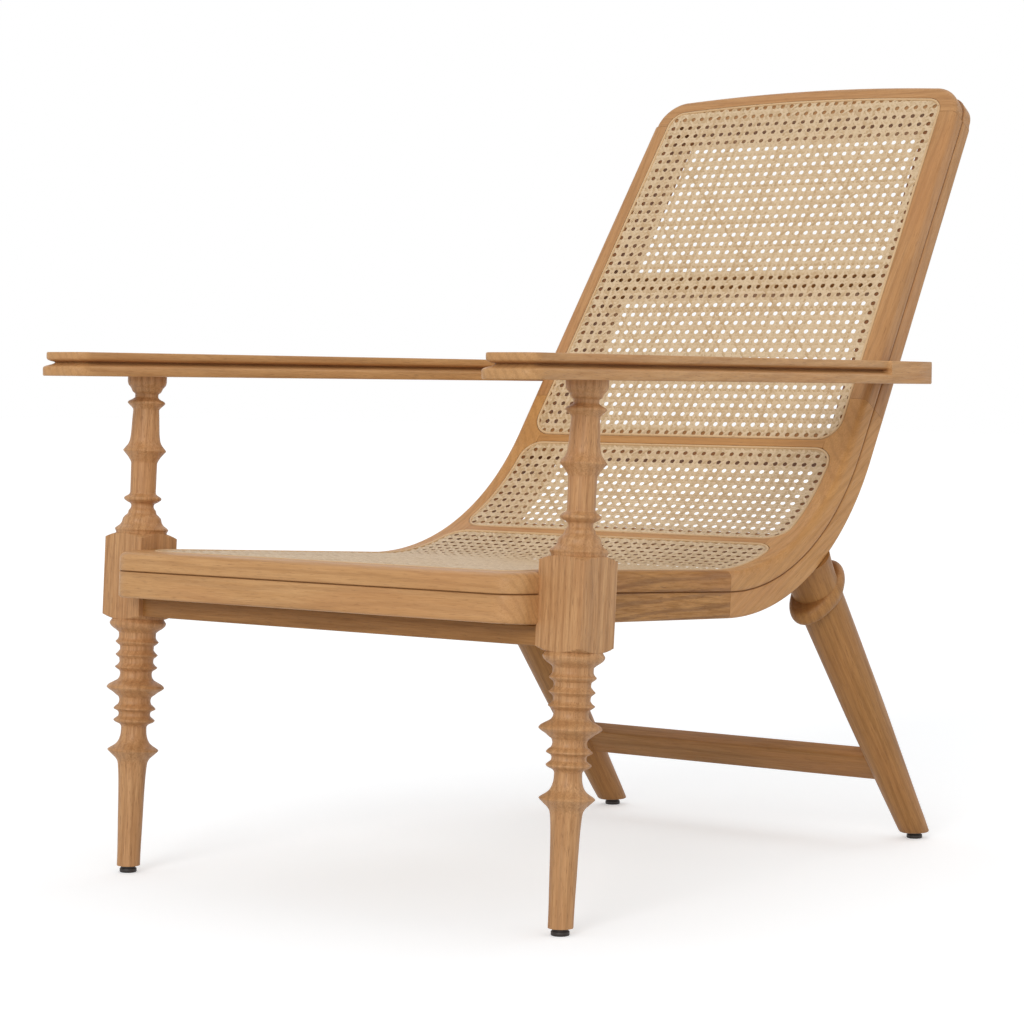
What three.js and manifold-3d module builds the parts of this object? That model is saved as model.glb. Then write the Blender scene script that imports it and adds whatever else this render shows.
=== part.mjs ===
// Planters chair in natural oak and woven cane, millimetres, +Z up.
// The sitter faces -Y, and +X is the sitter's left. The origin ends up on the floor,
// under the middle of the chair.
import * as THREE from "three";
import { mergeVertices } from "three/addons/utils/BufferGeometryUtils.js";
import Module from "manifold-3d";

const wasm = await Module();
wasm.setup();

// Clearances and overruns
const clearance = 0.3;
const overrun = 20;
const lap = 5;
const weldGap = 1e-4;

// Seat and back shell: two layers of timber with a grooved seam between them
const shellHalfWidthFront = 281.5;
const shellHalfWidthTop = 224.7;
const upperLayer = 23;
const lowerLayerFront = 31.2;
const lowerLayerTop = 20.4;
const seamHeightFront = 342.3;
const frontOverhang = 57;
const seatRun = 412.5;
const seatFall = THREE.MathUtils.degToRad(2.54);
const seamRadius = 330.6;
const backLean = THREE.MathUtils.degToRad(33);
const backRun = 528;
const lumbarFacets = 10;
const frontCornerRadius = 27;
const topCornerRadius = 40;
const topCrown = 11;
const railEdgeRound = 8;
const seamChamfer = 2;
const curveOverlapBack = 57.5;

// Cane panels, the reed splines that hold them, and the rails under their edges
const railFace = 21.5;
const splineWidth = 4.2;
const splineDepth = 5.5;
const splineProud = 0.9;
const caneThickness = 1.5;
const sideLedge = 12;
const frontLedge = 13;
const topLedge = 25;
const frontRailFace = 28.5;
const topRailFace = 19;
const strapFace = 11;
const strapLedge = 12.5;
const strapDepth = 26;
const seatPanelRun = 527;
const lumbarPanelRun = 170;
const caneCornerRadius = 26;
const caneTopCornerRadius = 21;
const hiddenRailWidth = 29;
const hiddenRailDepth = 26;
const hiddenRailFromTop = 282;

// Net of the cane: counts of gaps, and the width of its strands and rim
const seatNetCounts = [8, 8];
const lumbarNetCounts = [8, 3];
const backNetCounts = [8, 8];
const netStrand = 9;
const netRim = 14;

// Front legs, turned from one length of timber with a square block left in it
const frontLegHalfSpacing = 303;
const frontLegRake = THREE.MathUtils.degToRad(3.25);
const frontLegSplay = THREE.MathUtils.degToRad(0.4);
const blockWidth = 57.4;
const blockBottom = 283;
const blockTop = 378.3;
const blockShoulder = 5;
const postTenonRadius = 9;
const postTenonLength = 14;
const turningSides = 12;

// Arms
const armTop = 579;
const armThickness = 26;
const armFront = 105;
const armRear = 721;
const armHeadHalfWidth = 36.5;
const armHeadRadius = 20;
const armHeadOffset = 3.7;
const armRearWidth = 53;
const armTopLayer = 9.5;
const armGrooveHeight = 4.5;
const armTopSetback = 4;
const armGrooveDepth = 13;
const armEdgeRound = 1.5;
const armBevel = 3.5;
const armShoulder = 4;
const armBlockLength = 100;
const armGrooveRunout = 3;

// Rear legs and their stretcher
const rearLegHalfSpacing = 228;
const rearLegFoot = 814;
const rearLegLean = THREE.MathUtils.degToRad(36.9);
const rearLegFootRadius = 17;
const rearLegMiddleRadius = 24;
const rearLegMiddle = 165;
const rearLegTopRadius = 28.6;
const rearNeckRadius = 32;
const knuckleHeight = 311.5;
const knuckleThickness = 25;
const knuckleLength = 93;
const knuckleWidth = 58;
const rearLegChamfer = 3;
const stretcherHeight = 36;
const stretcherThickness = 19;
const stretcherLevel = 95.5;
const stretcherHousing = 9;

// Bearer under the front of the shell
const bearerHeight = 20.6;
const bearerThickness = 23;
const bearerFront = 4.8;
const bearerHousing = 14;

// Glides, dowels and bolts
const glideRadius = 9.5;
const glideHeight = 7.6;
const glideNailRadius = 2;
const glideNailLength = 8;
const dowelRadius = 5;
const frontDowelLength = 48;
const armDowelLength = 46;
const dowelShellReach = 18;
const boltRadius = 4;
const boltLength = 66;
const boltShellReach = 36;
const fastenerSides = 12;

// The turned profiles, from below: share of the height, share of half the block's width
const lowerTurningShares = [
  [0, 0.39], [0.007, 0.449], [0.049, 0.471], [0.353, 0.541], [0.413, 0.586], [0.435, 0.619],
  [0.449, 0.7], [0.482, 1.039], [0.512, 0.659], [0.53, 0.571], [0.572, 0.519], [0.583, 0.582],
  [0.594, 0.796], [0.6, 0.84], [0.617, 0.663], [0.625, 0.645], [0.635, 0.685], [0.645, 0.851],
  [0.664, 0.674], [0.678, 0.641], [0.691, 0.674], [0.729, 1.171], [0.739, 1.116], [0.76, 0.748],
  [0.77, 0.674], [0.783, 0.648], [0.793, 0.674], [0.809, 0.862], [0.83, 0.692], [0.843, 0.707],
  [0.858, 0.855], [0.88, 0.689], [0.892, 0.7], [0.909, 0.877], [0.929, 0.759], [0.943, 0.762],
  [0.975, 1.123], [0.983, 1.153], [1, 1.053],
];
const upperTurningShares = [
  [0, 1.031], [0.027, 1.098], [0.056, 0.895], [0.073, 0.821], [0.096, 0.781], [0.13, 0.586],
  [0.176, 0.46], [0.19, 0.486], [0.204, 0.645], [0.219, 0.748], [0.227, 0.759], [0.253, 0.552],
  [0.267, 0.527], [0.45, 0.534], [0.473, 0.597], [0.531, 0.873], [0.571, 0.692], [0.599, 0.622],
  [0.645, 0.586], [0.794, 0.534], [0.837, 0.759], [0.848, 0.722], [0.86, 0.575], [0.874, 0.479],
  [0.891, 0.475], [0.908, 0.586], [0.954, 0.77], [1, 0.799],
];
const glideShares = [[0, 0], [0.92, 0], [1, 0.12], [1, 0.62], [0.86, 0.66], [0.86, 1]];
const blockFootShare = 1.05;
const blockHeadShare = 1.03;
const cornerSweepShare = 0.93;

// Steps taken around curved outlines
const railCornerSteps = 6;
const caneCornerSteps = 5;
const topCrownSteps = 4;
const caneCrownSteps = 3;
const knuckleSteps = 6;
const knuckleSides = 20;

// Values that follow from the sizes above
const lumbarTurn = Math.PI / 2 - backLean + seatFall;
const lumbarRun = seamRadius * lumbarTurn;
const shellLength = seatRun + lumbarRun + backRun;
const sideRailWidth = railFace + splineWidth + sideLedge;
const frontRailWidth = frontRailFace + splineWidth + frontLedge;
const topRailWidth = topRailFace + splineWidth + topLedge;
const strapWidth = strapFace + 2 * splineWidth + 2 * strapLedge;
const armUnderside = armTop - armThickness;
const blockHalf = blockWidth / 2;
const seamGap = clearance / 2;

// Stations along the seam where the shell's facets meet, with the seam's place and normal there
const stations = [0];
for (let facet = 0; facet <= lumbarFacets; facet += 1) {
  stations.push(seatRun + (lumbarRun * facet) / lumbarFacets);
}
stations.push(shellLength);

function seamFrame(station) {
  const curve = THREE.MathUtils.clamp(station - seatRun, 0, lumbarRun);
  const angle = curve / seamRadius - seatFall;
  const past = station > seatRun ? station - seatRun - curve : station - seatRun;
  const centreY = seatRun * Math.cos(seatFall) + seamRadius * Math.sin(seatFall) - frontOverhang;
  const centreZ = seamHeightFront - seatRun * Math.sin(seatFall) + seamRadius * Math.cos(seatFall);
  return {
    y: centreY + seamRadius * Math.sin(angle) + past * Math.cos(angle),
    z: centreZ - seamRadius * Math.cos(angle) + past * Math.sin(angle),
    normalY: -Math.sin(angle),
    normalZ: Math.cos(angle),
  };
}

function facetOf(station) {
  let facet = 0;
  while (facet < stations.length - 2 && station > stations[facet + 1]) {
    facet += 1;
  }
  return facet;
}

// Flat shell coordinates are x across, a station along the seam and a height over the seam.
function shellPoint(x, station, height) {
  const facet = facetOf(station);
  const from = seamFrame(stations[facet]);
  const to = seamFrame(stations[facet + 1]);
  const share = (station - stations[facet]) / (stations[facet + 1] - stations[facet]);
  return [
    x,
    THREE.MathUtils.lerp(from.y + height * from.normalY, to.y + height * to.normalY, share),
    THREE.MathUtils.lerp(from.z + height * from.normalZ, to.z + height * to.normalZ, share),
  ];
}

function lowerLayer(station) {
  return THREE.MathUtils.lerp(lowerLayerFront, lowerLayerTop, station / shellLength);
}

function shellHalfWidth(station) {
  return THREE.MathUtils.lerp(shellHalfWidthFront, shellHalfWidthTop, station / shellLength);
}

// The station on the straight back where a layer at this height over the seam passes a level
function backStationAt(level, height) {
  const foot = seamFrame(seatRun + lumbarRun);
  return seatRun + lumbarRun + (level - foot.z - height * foot.normalZ) / Math.cos(backLean);
}

// Mesh helpers
function geometryFrom(points, triangles) {
  const geometry = new THREE.BufferGeometry();
  geometry.setAttribute("position", new THREE.Float32BufferAttribute(points.flat(), 3));
  geometry.setIndex(triangles.flat());
  return geometry;
}

function signedVolume(points, triangles) {
  let volume = 0;
  for (const [a, b, c] of triangles) {
    const first = new THREE.Vector3(...points[a]);
    const second = new THREE.Vector3(...points[b]);
    volume += first.dot(second.cross(new THREE.Vector3(...points[c])));
  }
  return volume;
}

// Rings of equally many points become one closed skin with flat convex ends.
function loftGeometry(rings) {
  const count = rings[0].length;
  const points = rings.flat();
  const triangles = [];
  for (let ring = 0; ring < rings.length - 1; ring += 1) {
    for (let side = 0; side < count; side += 1) {
      const next = (side + 1) % count;
      const a = ring * count + side;
      const b = ring * count + next;
      triangles.push([a, b, b + count], [a, b + count, a + count]);
    }
  }
  const lastRing = (rings.length - 1) * count;
  let low = 0;
  let high = count - 1;
  while (high - low > 1) {
    triangles.push([low + 1, low, high]);
    triangles.push([lastRing + low, lastRing + low + 1, lastRing + high]);
    low += 1;
    if (high - low > 1) {
      triangles.push([high - 1, low, high]);
      triangles.push([lastRing + low, lastRing + high - 1, lastRing + high]);
      high -= 1;
    }
  }
  if (signedVolume(points, triangles) < 0) {
    for (const triangle of triangles) {
      triangle.reverse();
    }
  }
  return geometryFrom(points, triangles);
}

function toSolid(geometry) {
  const plain = geometry.clone();
  plain.deleteAttribute("normal");
  plain.deleteAttribute("uv");
  const merged = mergeVertices(plain);
  return new wasm.Manifold(new wasm.Mesh({
    numProp: 3,
    vertProperties: new Float32Array(merged.attributes.position.array),
    triVerts: new Uint32Array(merged.index.array),
  }));
}

function toGeometry(solid) {
  const mesh = solid.getMesh();
  const geometry = new THREE.BufferGeometry();
  geometry.setAttribute("position", new THREE.BufferAttribute(mesh.vertProperties, 3));
  geometry.setIndex(new THREE.BufferAttribute(mesh.triVerts, 1));
  return geometry;
}

function boxSolid(low, high) {
  const size = high.map((value, axis) => value - low[axis]);
  const geometry = new THREE.BoxGeometry(...size);
  geometry.translate(...low.map((value, axis) => value + size[axis] / 2));
  return toSolid(geometry);
}

// A cylinder from one point to another
function rodGeometry(from, to, radius, sides = fastenerSides) {
  const start = new THREE.Vector3(...from);
  const along = new THREE.Vector3(...to).sub(start);
  const geometry = new THREE.CylinderGeometry(radius, radius, along.length(), sides);
  const turn = new THREE.Quaternion();
  turn.setFromUnitVectors(new THREE.Vector3(0, 1, 0), along.clone().normalize());
  geometry.applyQuaternion(turn);
  geometry.translate(...start.addScaledVector(along, 1 / 2).toArray());
  return geometry;
}

// A stack of outlines, one at each level, as one solid. A level's height may be measured
// from the shell's tapering underside.
function stackSolid(levels, outlineAt) {
  const heightAt = (level, y) => (level.underside ? level.height - lowerLayer(y) : level.height);
  const rings = levels.map((level) => outlineAt(level).map(([x, y]) => [x, y, heightAt(level, y)]));
  return toSolid(loftGeometry(rings));
}

// Bends a flat solid onto the shell, with an edge wherever it crosses from facet to facet.
function bend(solid) {
  const mesh = solid.getMesh();
  const joints = stations.slice(1, -1);
  const bands = [-Infinity, ...joints].map((low, band) => [low, joints[band] ?? Infinity]);
  const snapped = (station) => joints.find((joint) => Math.abs(joint - station) < weldGap) ?? station;
  const vertex = (index) => {
    const [x, station, height] = mesh.vertProperties.slice(index * 3, index * 3 + 3);
    return [x, snapped(station), height];
  };
  const crossings = (from, to) => {
    const [lower, upper] = from[1] < to[1] ? [from, to] : [to, from];
    const crossed = joints.filter((joint) => joint > lower[1] && joint < upper[1]);
    const cuts = crossed.map((joint) => {
      const share = (joint - lower[1]) / (upper[1] - lower[1]);
      return [
        THREE.MathUtils.lerp(lower[0], upper[0], share),
        joint,
        THREE.MathUtils.lerp(lower[2], upper[2], share),
      ];
    });
    return lower === from ? cuts : cuts.reverse();
  };
  const positions = [];
  for (let first = 0; first < mesh.triVerts.length; first += 3) {
    const corners = [0, 1, 2].map((offset) => vertex(mesh.triVerts[first + offset]));
    const outline = corners.flatMap((point, index) => [
      point,
      ...crossings(point, corners[(index + 1) % 3]),
    ]);
    for (const [low, high] of bands) {
      const piece = outline.filter(([, station]) => station >= low && station <= high);
      if (piece.every(([, station]) => station === low)) {
        continue;
      }
      for (let index = 1; index < piece.length - 1; index += 1) {
        for (const point of [piece[0], piece[index], piece[index + 1]]) {
          positions.push(...shellPoint(...point));
        }
      }
    }
  }
  const loose = new THREE.BufferGeometry();
  loose.setAttribute("position", new THREE.Float32BufferAttribute(positions, 3));
  return toSolid(loose);
}

// Materials
const oakFinish = { roughness: 0.55, metalness: 0 };
const oak = new THREE.MeshStandardMaterial({ color: 0xb48a62, ...oakFinish });
const oakLight = new THREE.MeshStandardMaterial({ color: 0xc39a70, ...oakFinish });
const cane = new THREE.MeshStandardMaterial({ color: 0xd8bc92, roughness: 0.6, metalness: 0 });
const reed = new THREE.MeshStandardMaterial({ color: 0xdec096, roughness: 0.55, metalness: 0 });
const steel = new THREE.MeshStandardMaterial({ color: 0x9a9a9a, roughness: 0.4, metalness: 1 });
const glidePlastic = new THREE.MeshStandardMaterial({ color: 0x2a201a, roughness: 0.5, metalness: 0 });

const chair = new THREE.Group();

function addPiece(name, solid, material) {
  const mesh = new THREE.Mesh(toGeometry(solid), material);
  mesh.name = name;
  chair.add(mesh);
}

const sides = [["left", 1], ["right", -1]];

// Quarter round of an outer edge as levels of height and setback
function roundedLevels(height, radius, upwards) {
  const sign = upwards ? 1 : -1;
  const steps = [0, 1, 2].map((step) => (step * Math.PI) / 4);
  return steps.map((angle) => ({
    height: height - sign * radius * (1 - Math.sin(angle)),
    setback: radius * (1 - Math.cos(angle)),
  }));
}

const upperLevels = [
  { height: seamGap, setback: seamChamfer },
  { height: seamGap + seamChamfer, setback: 0 },
  ...roundedLevels(upperLayer, railEdgeRound, true),
];
const lowerLevels = [
  ...roundedLevels(0, railEdgeRound / 2, false).reverse().map((level) => ({ ...level, underside: true })),
  { height: -seamGap - seamChamfer, setback: 0 },
  { height: -seamGap, setback: seamChamfer },
];

// Outlines of the shell's rails in flat shell coordinates, for one level's setback
function cornerArc(centreX, centreStation, radius, fromAngle, toAngle, steps) {
  const points = [];
  for (let step = 0; step <= steps; step += 1) {
    const angle = THREE.MathUtils.lerp(fromAngle, toAngle, step / steps);
    points.push([centreX + radius * Math.cos(angle), centreStation + radius * Math.sin(angle)]);
  }
  return points;
}

function mirrored(points) {
  return points.map(([x, station]) => [-x, station]).reverse();
}

function frontRailOutline({ setback }) {
  const centre = shellHalfWidth(frontCornerRadius) - frontCornerRadius;
  const radius = frontCornerRadius - setback;
  const half = [
    ...cornerArc(centre, frontCornerRadius, radius, -Math.PI / 2, 0, railCornerSteps),
    [shellHalfWidth(frontRailWidth) - setback, frontRailWidth],
  ];
  return [...mirrored(half), ...half];
}

function crownedStation(x, station) {
  return station - topCrown * (x / shellHalfWidthTop) ** 2;
}

function topRailOutline({ setback }) {
  const radius = topCornerRadius - setback;
  const cornerX = shellHalfWidthTop - topCornerRadius;
  const cornerStation = crownedStation(cornerX, shellLength) - topCornerRadius;
  const start = shellLength - topRailWidth;
  const half = [
    [shellHalfWidth(start) - setback, start],
    ...cornerArc(cornerX, cornerStation, radius, 0, (cornerSweepShare * Math.PI) / 2, railCornerSteps),
  ];
  for (let step = topCrownSteps - 1; step > 0; step -= 1) {
    const x = (cornerX * step) / topCrownSteps;
    half.push([x, crownedStation(x, shellLength) - setback]);
  }
  return [...half, [0, shellLength - setback], ...mirrored(half)];
}

function sideRailOutline(side, from, to) {
  return ({ setback }) => {
    const outer = [from, to].map((station) => [side * (shellHalfWidth(station) - setback), station]);
    const inner = [to, from].map((station) => [side * (shellHalfWidth(station) - sideRailWidth), station]);
    return [...outer, ...inner];
  };
}

// The line down the middle of a panel's spline, moved outwards by an offset
function panelOutline(panel, offset) {
  const inset = railFace + splineWidth / 2 - offset;
  const lowRadius = caneCornerRadius + offset;
  const highRadius = panel.topRadius + offset;
  const lowCentre = panel.from + caneCornerRadius;
  const highCentre = panel.to - panel.topRadius;
  const lowX = shellHalfWidth(lowCentre) - inset - lowRadius;
  const highX = shellHalfWidth(highCentre) - inset - highRadius;
  const drop = panel.crown * (highX / shellHalfWidthTop) ** 2;
  const half = [
    ...cornerArc(lowX, lowCentre, lowRadius, -Math.PI / 2, 0, caneCornerSteps),
    ...cornerArc(highX, highCentre - drop, highRadius, 0, Math.PI / 2, caneCornerSteps),
  ];
  for (let step = caneCrownSteps - 1; step > 0; step -= 1) {
    const x = (highX * step) / caneCrownSteps;
    half.push([x, panel.to + offset - panel.crown * (x / shellHalfWidthTop) ** 2]);
  }
  return [...half, ...mirrored(half)];
}

const seatPanelFrom = frontRailFace + splineWidth / 2;
const lumbarPanelFrom = seatPanelFrom + seatPanelRun + splineWidth + strapFace;
const backPanelFrom = lumbarPanelFrom + lumbarPanelRun + splineWidth + strapFace;
const panels = [
  {
    name: "seat",
    from: seatPanelFrom,
    to: seatPanelFrom + seatPanelRun,
    topRadius: caneCornerRadius,
    crown: 0,
    counts: seatNetCounts,
  },
  {
    name: "lumbar",
    from: lumbarPanelFrom,
    to: lumbarPanelFrom + lumbarPanelRun,
    topRadius: caneCornerRadius,
    crown: 0,
    counts: lumbarNetCounts,
  },
  {
    name: "back",
    from: backPanelFrom,
    to: shellLength - topRailFace - splineWidth / 2,
    topRadius: caneTopCornerRadius,
    crown: topCrown,
    counts: backNetCounts,
  },
];

function plate(outline, low, high) {
  return stackSolid([{ height: low }, { height: high }], () => outline);
}

// A plate with holes cut right through it
function piercedPlate(outline, low, high, holes) {
  const cutters = holes.map((hole) => plate(hole, low - overrun, high + overrun));
  return plate(outline, low, high).subtract(wasm.Manifold.union(cutters));
}

// What the panels take out of the upper rails: a rebate for the cane and a groove for the spline
const ledgeHeight = upperLayer - caneThickness - clearance;
const grooveFloor = upperLayer - splineDepth;

function panelCutter(panel) {
  const rebate = plate(panelOutline(panel, 0), ledgeHeight, upperLayer + overrun);
  const outer = panelOutline(panel, splineWidth / 2 + clearance / 2);
  const inner = panelOutline(panel, -splineWidth / 2 - clearance / 2);
  return rebate.add(piercedPlate(outer, grooveFloor, upperLayer + overrun, [inner]));
}

const upperCutter = panels.map(panelCutter).reduce((all, cutter) => all.add(cutter));

// The upper and lower layers of the shell's frame
const curveFrom = seatRun;
const curveTo = seatRun + lumbarRun + curveOverlapBack;
const topRailStart = shellLength - topRailWidth;
const sideRuns = [
  ["seat_rail", frontRailWidth + clearance, curveFrom],
  ["curve_rail", curveFrom + clearance, curveTo],
  ["back_rail", curveTo + clearance, topRailStart - clearance],
];

// Dowels and bolts, and the bores that they sit in
const frontDowelStation = frontOverhang + blockHalf * Math.cos(frontLegRake);
const fasteners = [];
for (const [label, side] of sides) {
  const [, frontY, frontZ] = shellPoint(0, frontDowelStation, -lowerLayer(frontDowelStation) / 2);
  const frontInner = shellHalfWidth(frontDowelStation) - dowelShellReach;
  fasteners.push({
    name: `front_leg_dowel_${label}`,
    from: [side * frontInner, frontY, frontZ],
    to: [side * (frontInner + frontDowelLength), frontY, frontZ],
    radius: dowelRadius,
    material: oakLight,
  });
  const armLevel = armUnderside + armThickness / 2;
  const armStation = backStationAt(armLevel, upperLayer / 2);
  const [, armY, armZ] = shellPoint(0, armStation, upperLayer / 2);
  const armInner = shellHalfWidth(armStation) - dowelShellReach;
  fasteners.push({
    name: `arm_dowel_${label}`,
    from: [side * armInner, armY, armZ],
    to: [side * (armInner + armDowelLength), armY, armZ],
    radius: dowelRadius,
    material: oakLight,
  });
}

// The rear leg's centre line, by height above the floor
function rearLegAxis(level) {
  return [rearLegFoot - (level - glideHeight) * Math.tan(rearLegLean), level];
}

// Where that line meets the shell's underside, found by halving the span that holds it
function rearLegSeatLevel() {
  let low = knuckleHeight;
  let high = seamHeightFront + seamRadius;
  const curveStart = seamFrame(seatRun);
  const centreY = curveStart.y + seamRadius * curveStart.normalY;
  const centreZ = curveStart.z + seamRadius * curveStart.normalZ;
  for (let step = 0; step < 40; step += 1) {
    const middle = (low + high) / 2;
    const [y, z] = rearLegAxis(middle);
    const station = seatRun + seamRadius * (Math.atan2(y - centreY, centreZ - z) + seatFall);
    const outside = Math.hypot(y - centreY, z - centreZ) > seamRadius + lowerLayer(station);
    low = outside ? middle : low;
    high = outside ? high : middle;
  }
  return low;
}

const rearSeatLevel = rearLegSeatLevel();
for (const [label, side] of sides) {
  const reach = boltShellReach * Math.cos(rearLegLean);
  const [topY, topZ] = rearLegAxis(rearSeatLevel + reach);
  const [bottomY, bottomZ] = rearLegAxis(rearSeatLevel + reach - boltLength * Math.cos(rearLegLean));
  fasteners.push({
    name: `rear_leg_bolt_${label}`,
    from: [side * rearLegHalfSpacing, bottomY, bottomZ],
    to: [side * rearLegHalfSpacing, topY, topZ],
    radius: boltRadius,
    material: steel,
  });
}

function boreFor({ from, to, radius }) {
  const start = new THREE.Vector3(...from);
  const end = new THREE.Vector3(...to);
  const along = end.clone().sub(start).normalize();
  start.addScaledVector(along, -clearance);
  end.addScaledVector(along, clearance);
  return toSolid(rodGeometry(start.toArray(), end.toArray(), radius + clearance));
}

const bores = fasteners.map(boreFor).reduce((all, bore) => all.add(bore));

for (const [layer, levels] of [["upper", upperLevels], ["lower", lowerLevels]]) {
  const finish = (flat) => bend(layer === "upper" ? flat.subtract(upperCutter) : flat).subtract(bores);
  addPiece(`${layer}_front_rail`, finish(stackSolid(levels, frontRailOutline)), oak);
  addPiece(`${layer}_top_rail`, finish(stackSolid(levels, topRailOutline)), oak);
  for (const [label, side] of sides) {
    for (const [run, from, to] of sideRuns) {
      const rail = finish(stackSolid(levels, sideRailOutline(side, from, to)));
      addPiece(`${layer}_${run}_${label}`, rail, run === "curve_rail" ? oakLight : oak);
    }
  }
}

// Straps across the shell between the panels, and the hidden rail behind the back panel
function crossRail(centre, width, low, high) {
  const from = centre - width / 2;
  const to = centre + width / 2;
  const reach = (station) => shellHalfWidth(station) - sideRailWidth - clearance;
  const outline = [
    [-reach(from), from],
    [reach(from), from],
    [reach(to), to],
    [-reach(to), to],
  ];
  return plate(outline, low, high);
}

const strapLow = upperLayer - strapDepth;
for (const [name, below, above] of [["seat_strap", 0, 1], ["lumbar_strap", 1, 2]]) {
  const centre = (panels[below].to + panels[above].from) / 2;
  const flat = crossRail(centre, strapWidth, strapLow, upperLayer).subtract(upperCutter);
  addPiece(name, bend(flat), oakLight);
}
const hiddenCentre = shellLength - hiddenRailFromTop;
const hiddenUnderside = -lowerLayer(hiddenCentre);
const hiddenFace = hiddenUnderside + hiddenRailDepth;
const hiddenRail = crossRail(hiddenCentre, hiddenRailWidth, hiddenUnderside, hiddenFace);
addPiece("back_cross_rail", bend(hiddenRail), oak);

// Cane panels: a net whose gaps lie inside a plain rim, in the flat, then bent onto the ledges
function netHoles(panel) {
  const [across, along] = panel.counts;
  const inset = railFace + splineWidth + netRim;
  const low = panel.from + netRim;
  const high = panel.to - netRim - panel.crown;
  const pitch = (high - low) / along;
  const holes = [];
  for (let row = 0; row < along; row += 1) {
    const from = low + row * pitch + netStrand / 2;
    const to = low + (row + 1) * pitch - netStrand / 2;
    for (let column = 0; column < across; column += 1) {
      const corner = (station, edge) => {
        const half = shellHalfWidth(station) - inset;
        return [THREE.MathUtils.lerp(-half, half, (column + edge) / across), station];
      };
      const [lowLeft, lowRight] = [corner(from, 0), corner(from, 1)];
      const [highLeft, highRight] = [corner(to, 0), corner(to, 1)];
      const shrink = netStrand / 2;
      holes.push([
        [lowLeft[0] + shrink, from],
        [highLeft[0] + shrink, to],
        [highRight[0] - shrink, to],
        [lowRight[0] - shrink, from],
      ]);
    }
  }
  return holes;
}

for (const panel of panels) {
  const edge = panelOutline(panel, -splineWidth / 2 - clearance);
  const low = ledgeHeight + clearance;
  const net = piercedPlate(edge, low, low + caneThickness, netHoles(panel));
  addPiece(`cane_${panel.name}`, bend(net), cane);
  const outer = panelOutline(panel, splineWidth / 2 - clearance / 2);
  const inner = panelOutline(panel, -splineWidth / 2 + clearance / 2);
  const spline = piercedPlate(outer, grooveFloor + clearance, upperLayer + splineProud, [inner]);
  addPiece(`spline_${panel.name}`, bend(spline), reed);
}

// Turned front legs
function turned(profileShares, bottom, top) {
  const points = [new THREE.Vector2(0, bottom)];
  for (const [heightShare, radiusShare] of profileShares) {
    points.push(new THREE.Vector2(radiusShare * blockHalf, THREE.MathUtils.lerp(bottom, top, heightShare)));
  }
  points.push(new THREE.Vector2(0, points.at(-1).y));
  const geometry = new THREE.LatheGeometry(points, turningSides);
  geometry.rotateX(Math.PI / 2);
  return toSolid(geometry);
}

// The block: a square length whose ends are turned down to shoulders
function blockSolid() {
  const square = boxSolid([-blockHalf, -blockHalf, blockBottom], [blockHalf, blockHalf, blockTop]);
  const corner = blockHalf * Math.SQRT2;
  const points = [
    new THREE.Vector2(0, blockBottom - overrun),
    new THREE.Vector2(blockHalf * blockFootShare, blockBottom - overrun),
    new THREE.Vector2(blockHalf * blockFootShare, blockBottom),
    new THREE.Vector2(corner + clearance, blockBottom + blockShoulder),
    new THREE.Vector2(corner + clearance, blockTop - blockShoulder),
    new THREE.Vector2(blockHalf * blockHeadShare, blockTop),
    new THREE.Vector2(blockHalf * blockHeadShare, blockTop + overrun),
    new THREE.Vector2(0, blockTop + overrun),
  ];
  const turning = new THREE.LatheGeometry(points, turningSides * 2);
  turning.rotateX(Math.PI / 2);
  return square.intersect(toSolid(turning));
}

function bearerBox(gap) {
  const half = frontLegHalfSpacing - blockHalf + bearerHousing + gap;
  const rearStation = frontOverhang - bearerFront + bearerThickness;
  const [, , shellUnder] = shellPoint(0, rearStation, -lowerLayer(rearStation));
  const top = shellUnder - clearance;
  const low = [-half, -bearerFront - gap, top - bearerHeight - gap];
  const high = [half, bearerThickness - bearerFront + gap, top + gap];
  return boxSolid(low, high);
}

function shellEnvelope() {
  const levels = [
    { height: -clearance, underside: true, setback: -clearance },
    { height: upperLayer + clearance, setback: -clearance },
  ];
  const outline = ({ setback }) => {
    const half = [0, shellLength].map((station) => [shellHalfWidth(station) - setback, station]);
    return [...half, ...mirrored(half)];
  };
  return bend(stackSolid(levels, outline));
}

const envelope = shellEnvelope();
const bearer = bearerBox(0);
addPiece("front_bearer", bearer, oak);

function glidePiece(x, y) {
  const top = glideHeight - clearance;
  const points = [
    ...glideShares.map(([radiusShare, heightShare]) => [glideRadius * radiusShare, top * heightShare]),
    [glideNailRadius, top],
    [glideNailRadius, top + glideNailLength],
    [0, top + glideNailLength],
  ];
  const geometry = new THREE.LatheGeometry(points.map(([r, z]) => new THREE.Vector2(r, z)), turningSides);
  geometry.rotateX(Math.PI / 2);
  geometry.translate(x, y, 0);
  return toSolid(geometry);
}

function nailHole(x, y) {
  const bottom = [x, y, -overrun];
  const top = [x, y, glideHeight + glideNailLength];
  return toSolid(rodGeometry(bottom, top, glideNailRadius + clearance));
}

// A front leg's centre line, by height above the floor
function frontLegAxis(side, level) {
  const x = side * (frontLegHalfSpacing + level * Math.tan(frontLegSplay));
  return [x, level * Math.tan(frontLegRake), level];
}

function postTenon(side, gap) {
  const [x, y] = frontLegAxis(side, armUnderside);
  const from = [x, y, armUnderside - lap];
  const to = [x, y, armUnderside + postTenonLength + gap];
  return toSolid(rodGeometry(from, to, postTenonRadius + gap));
}

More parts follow.
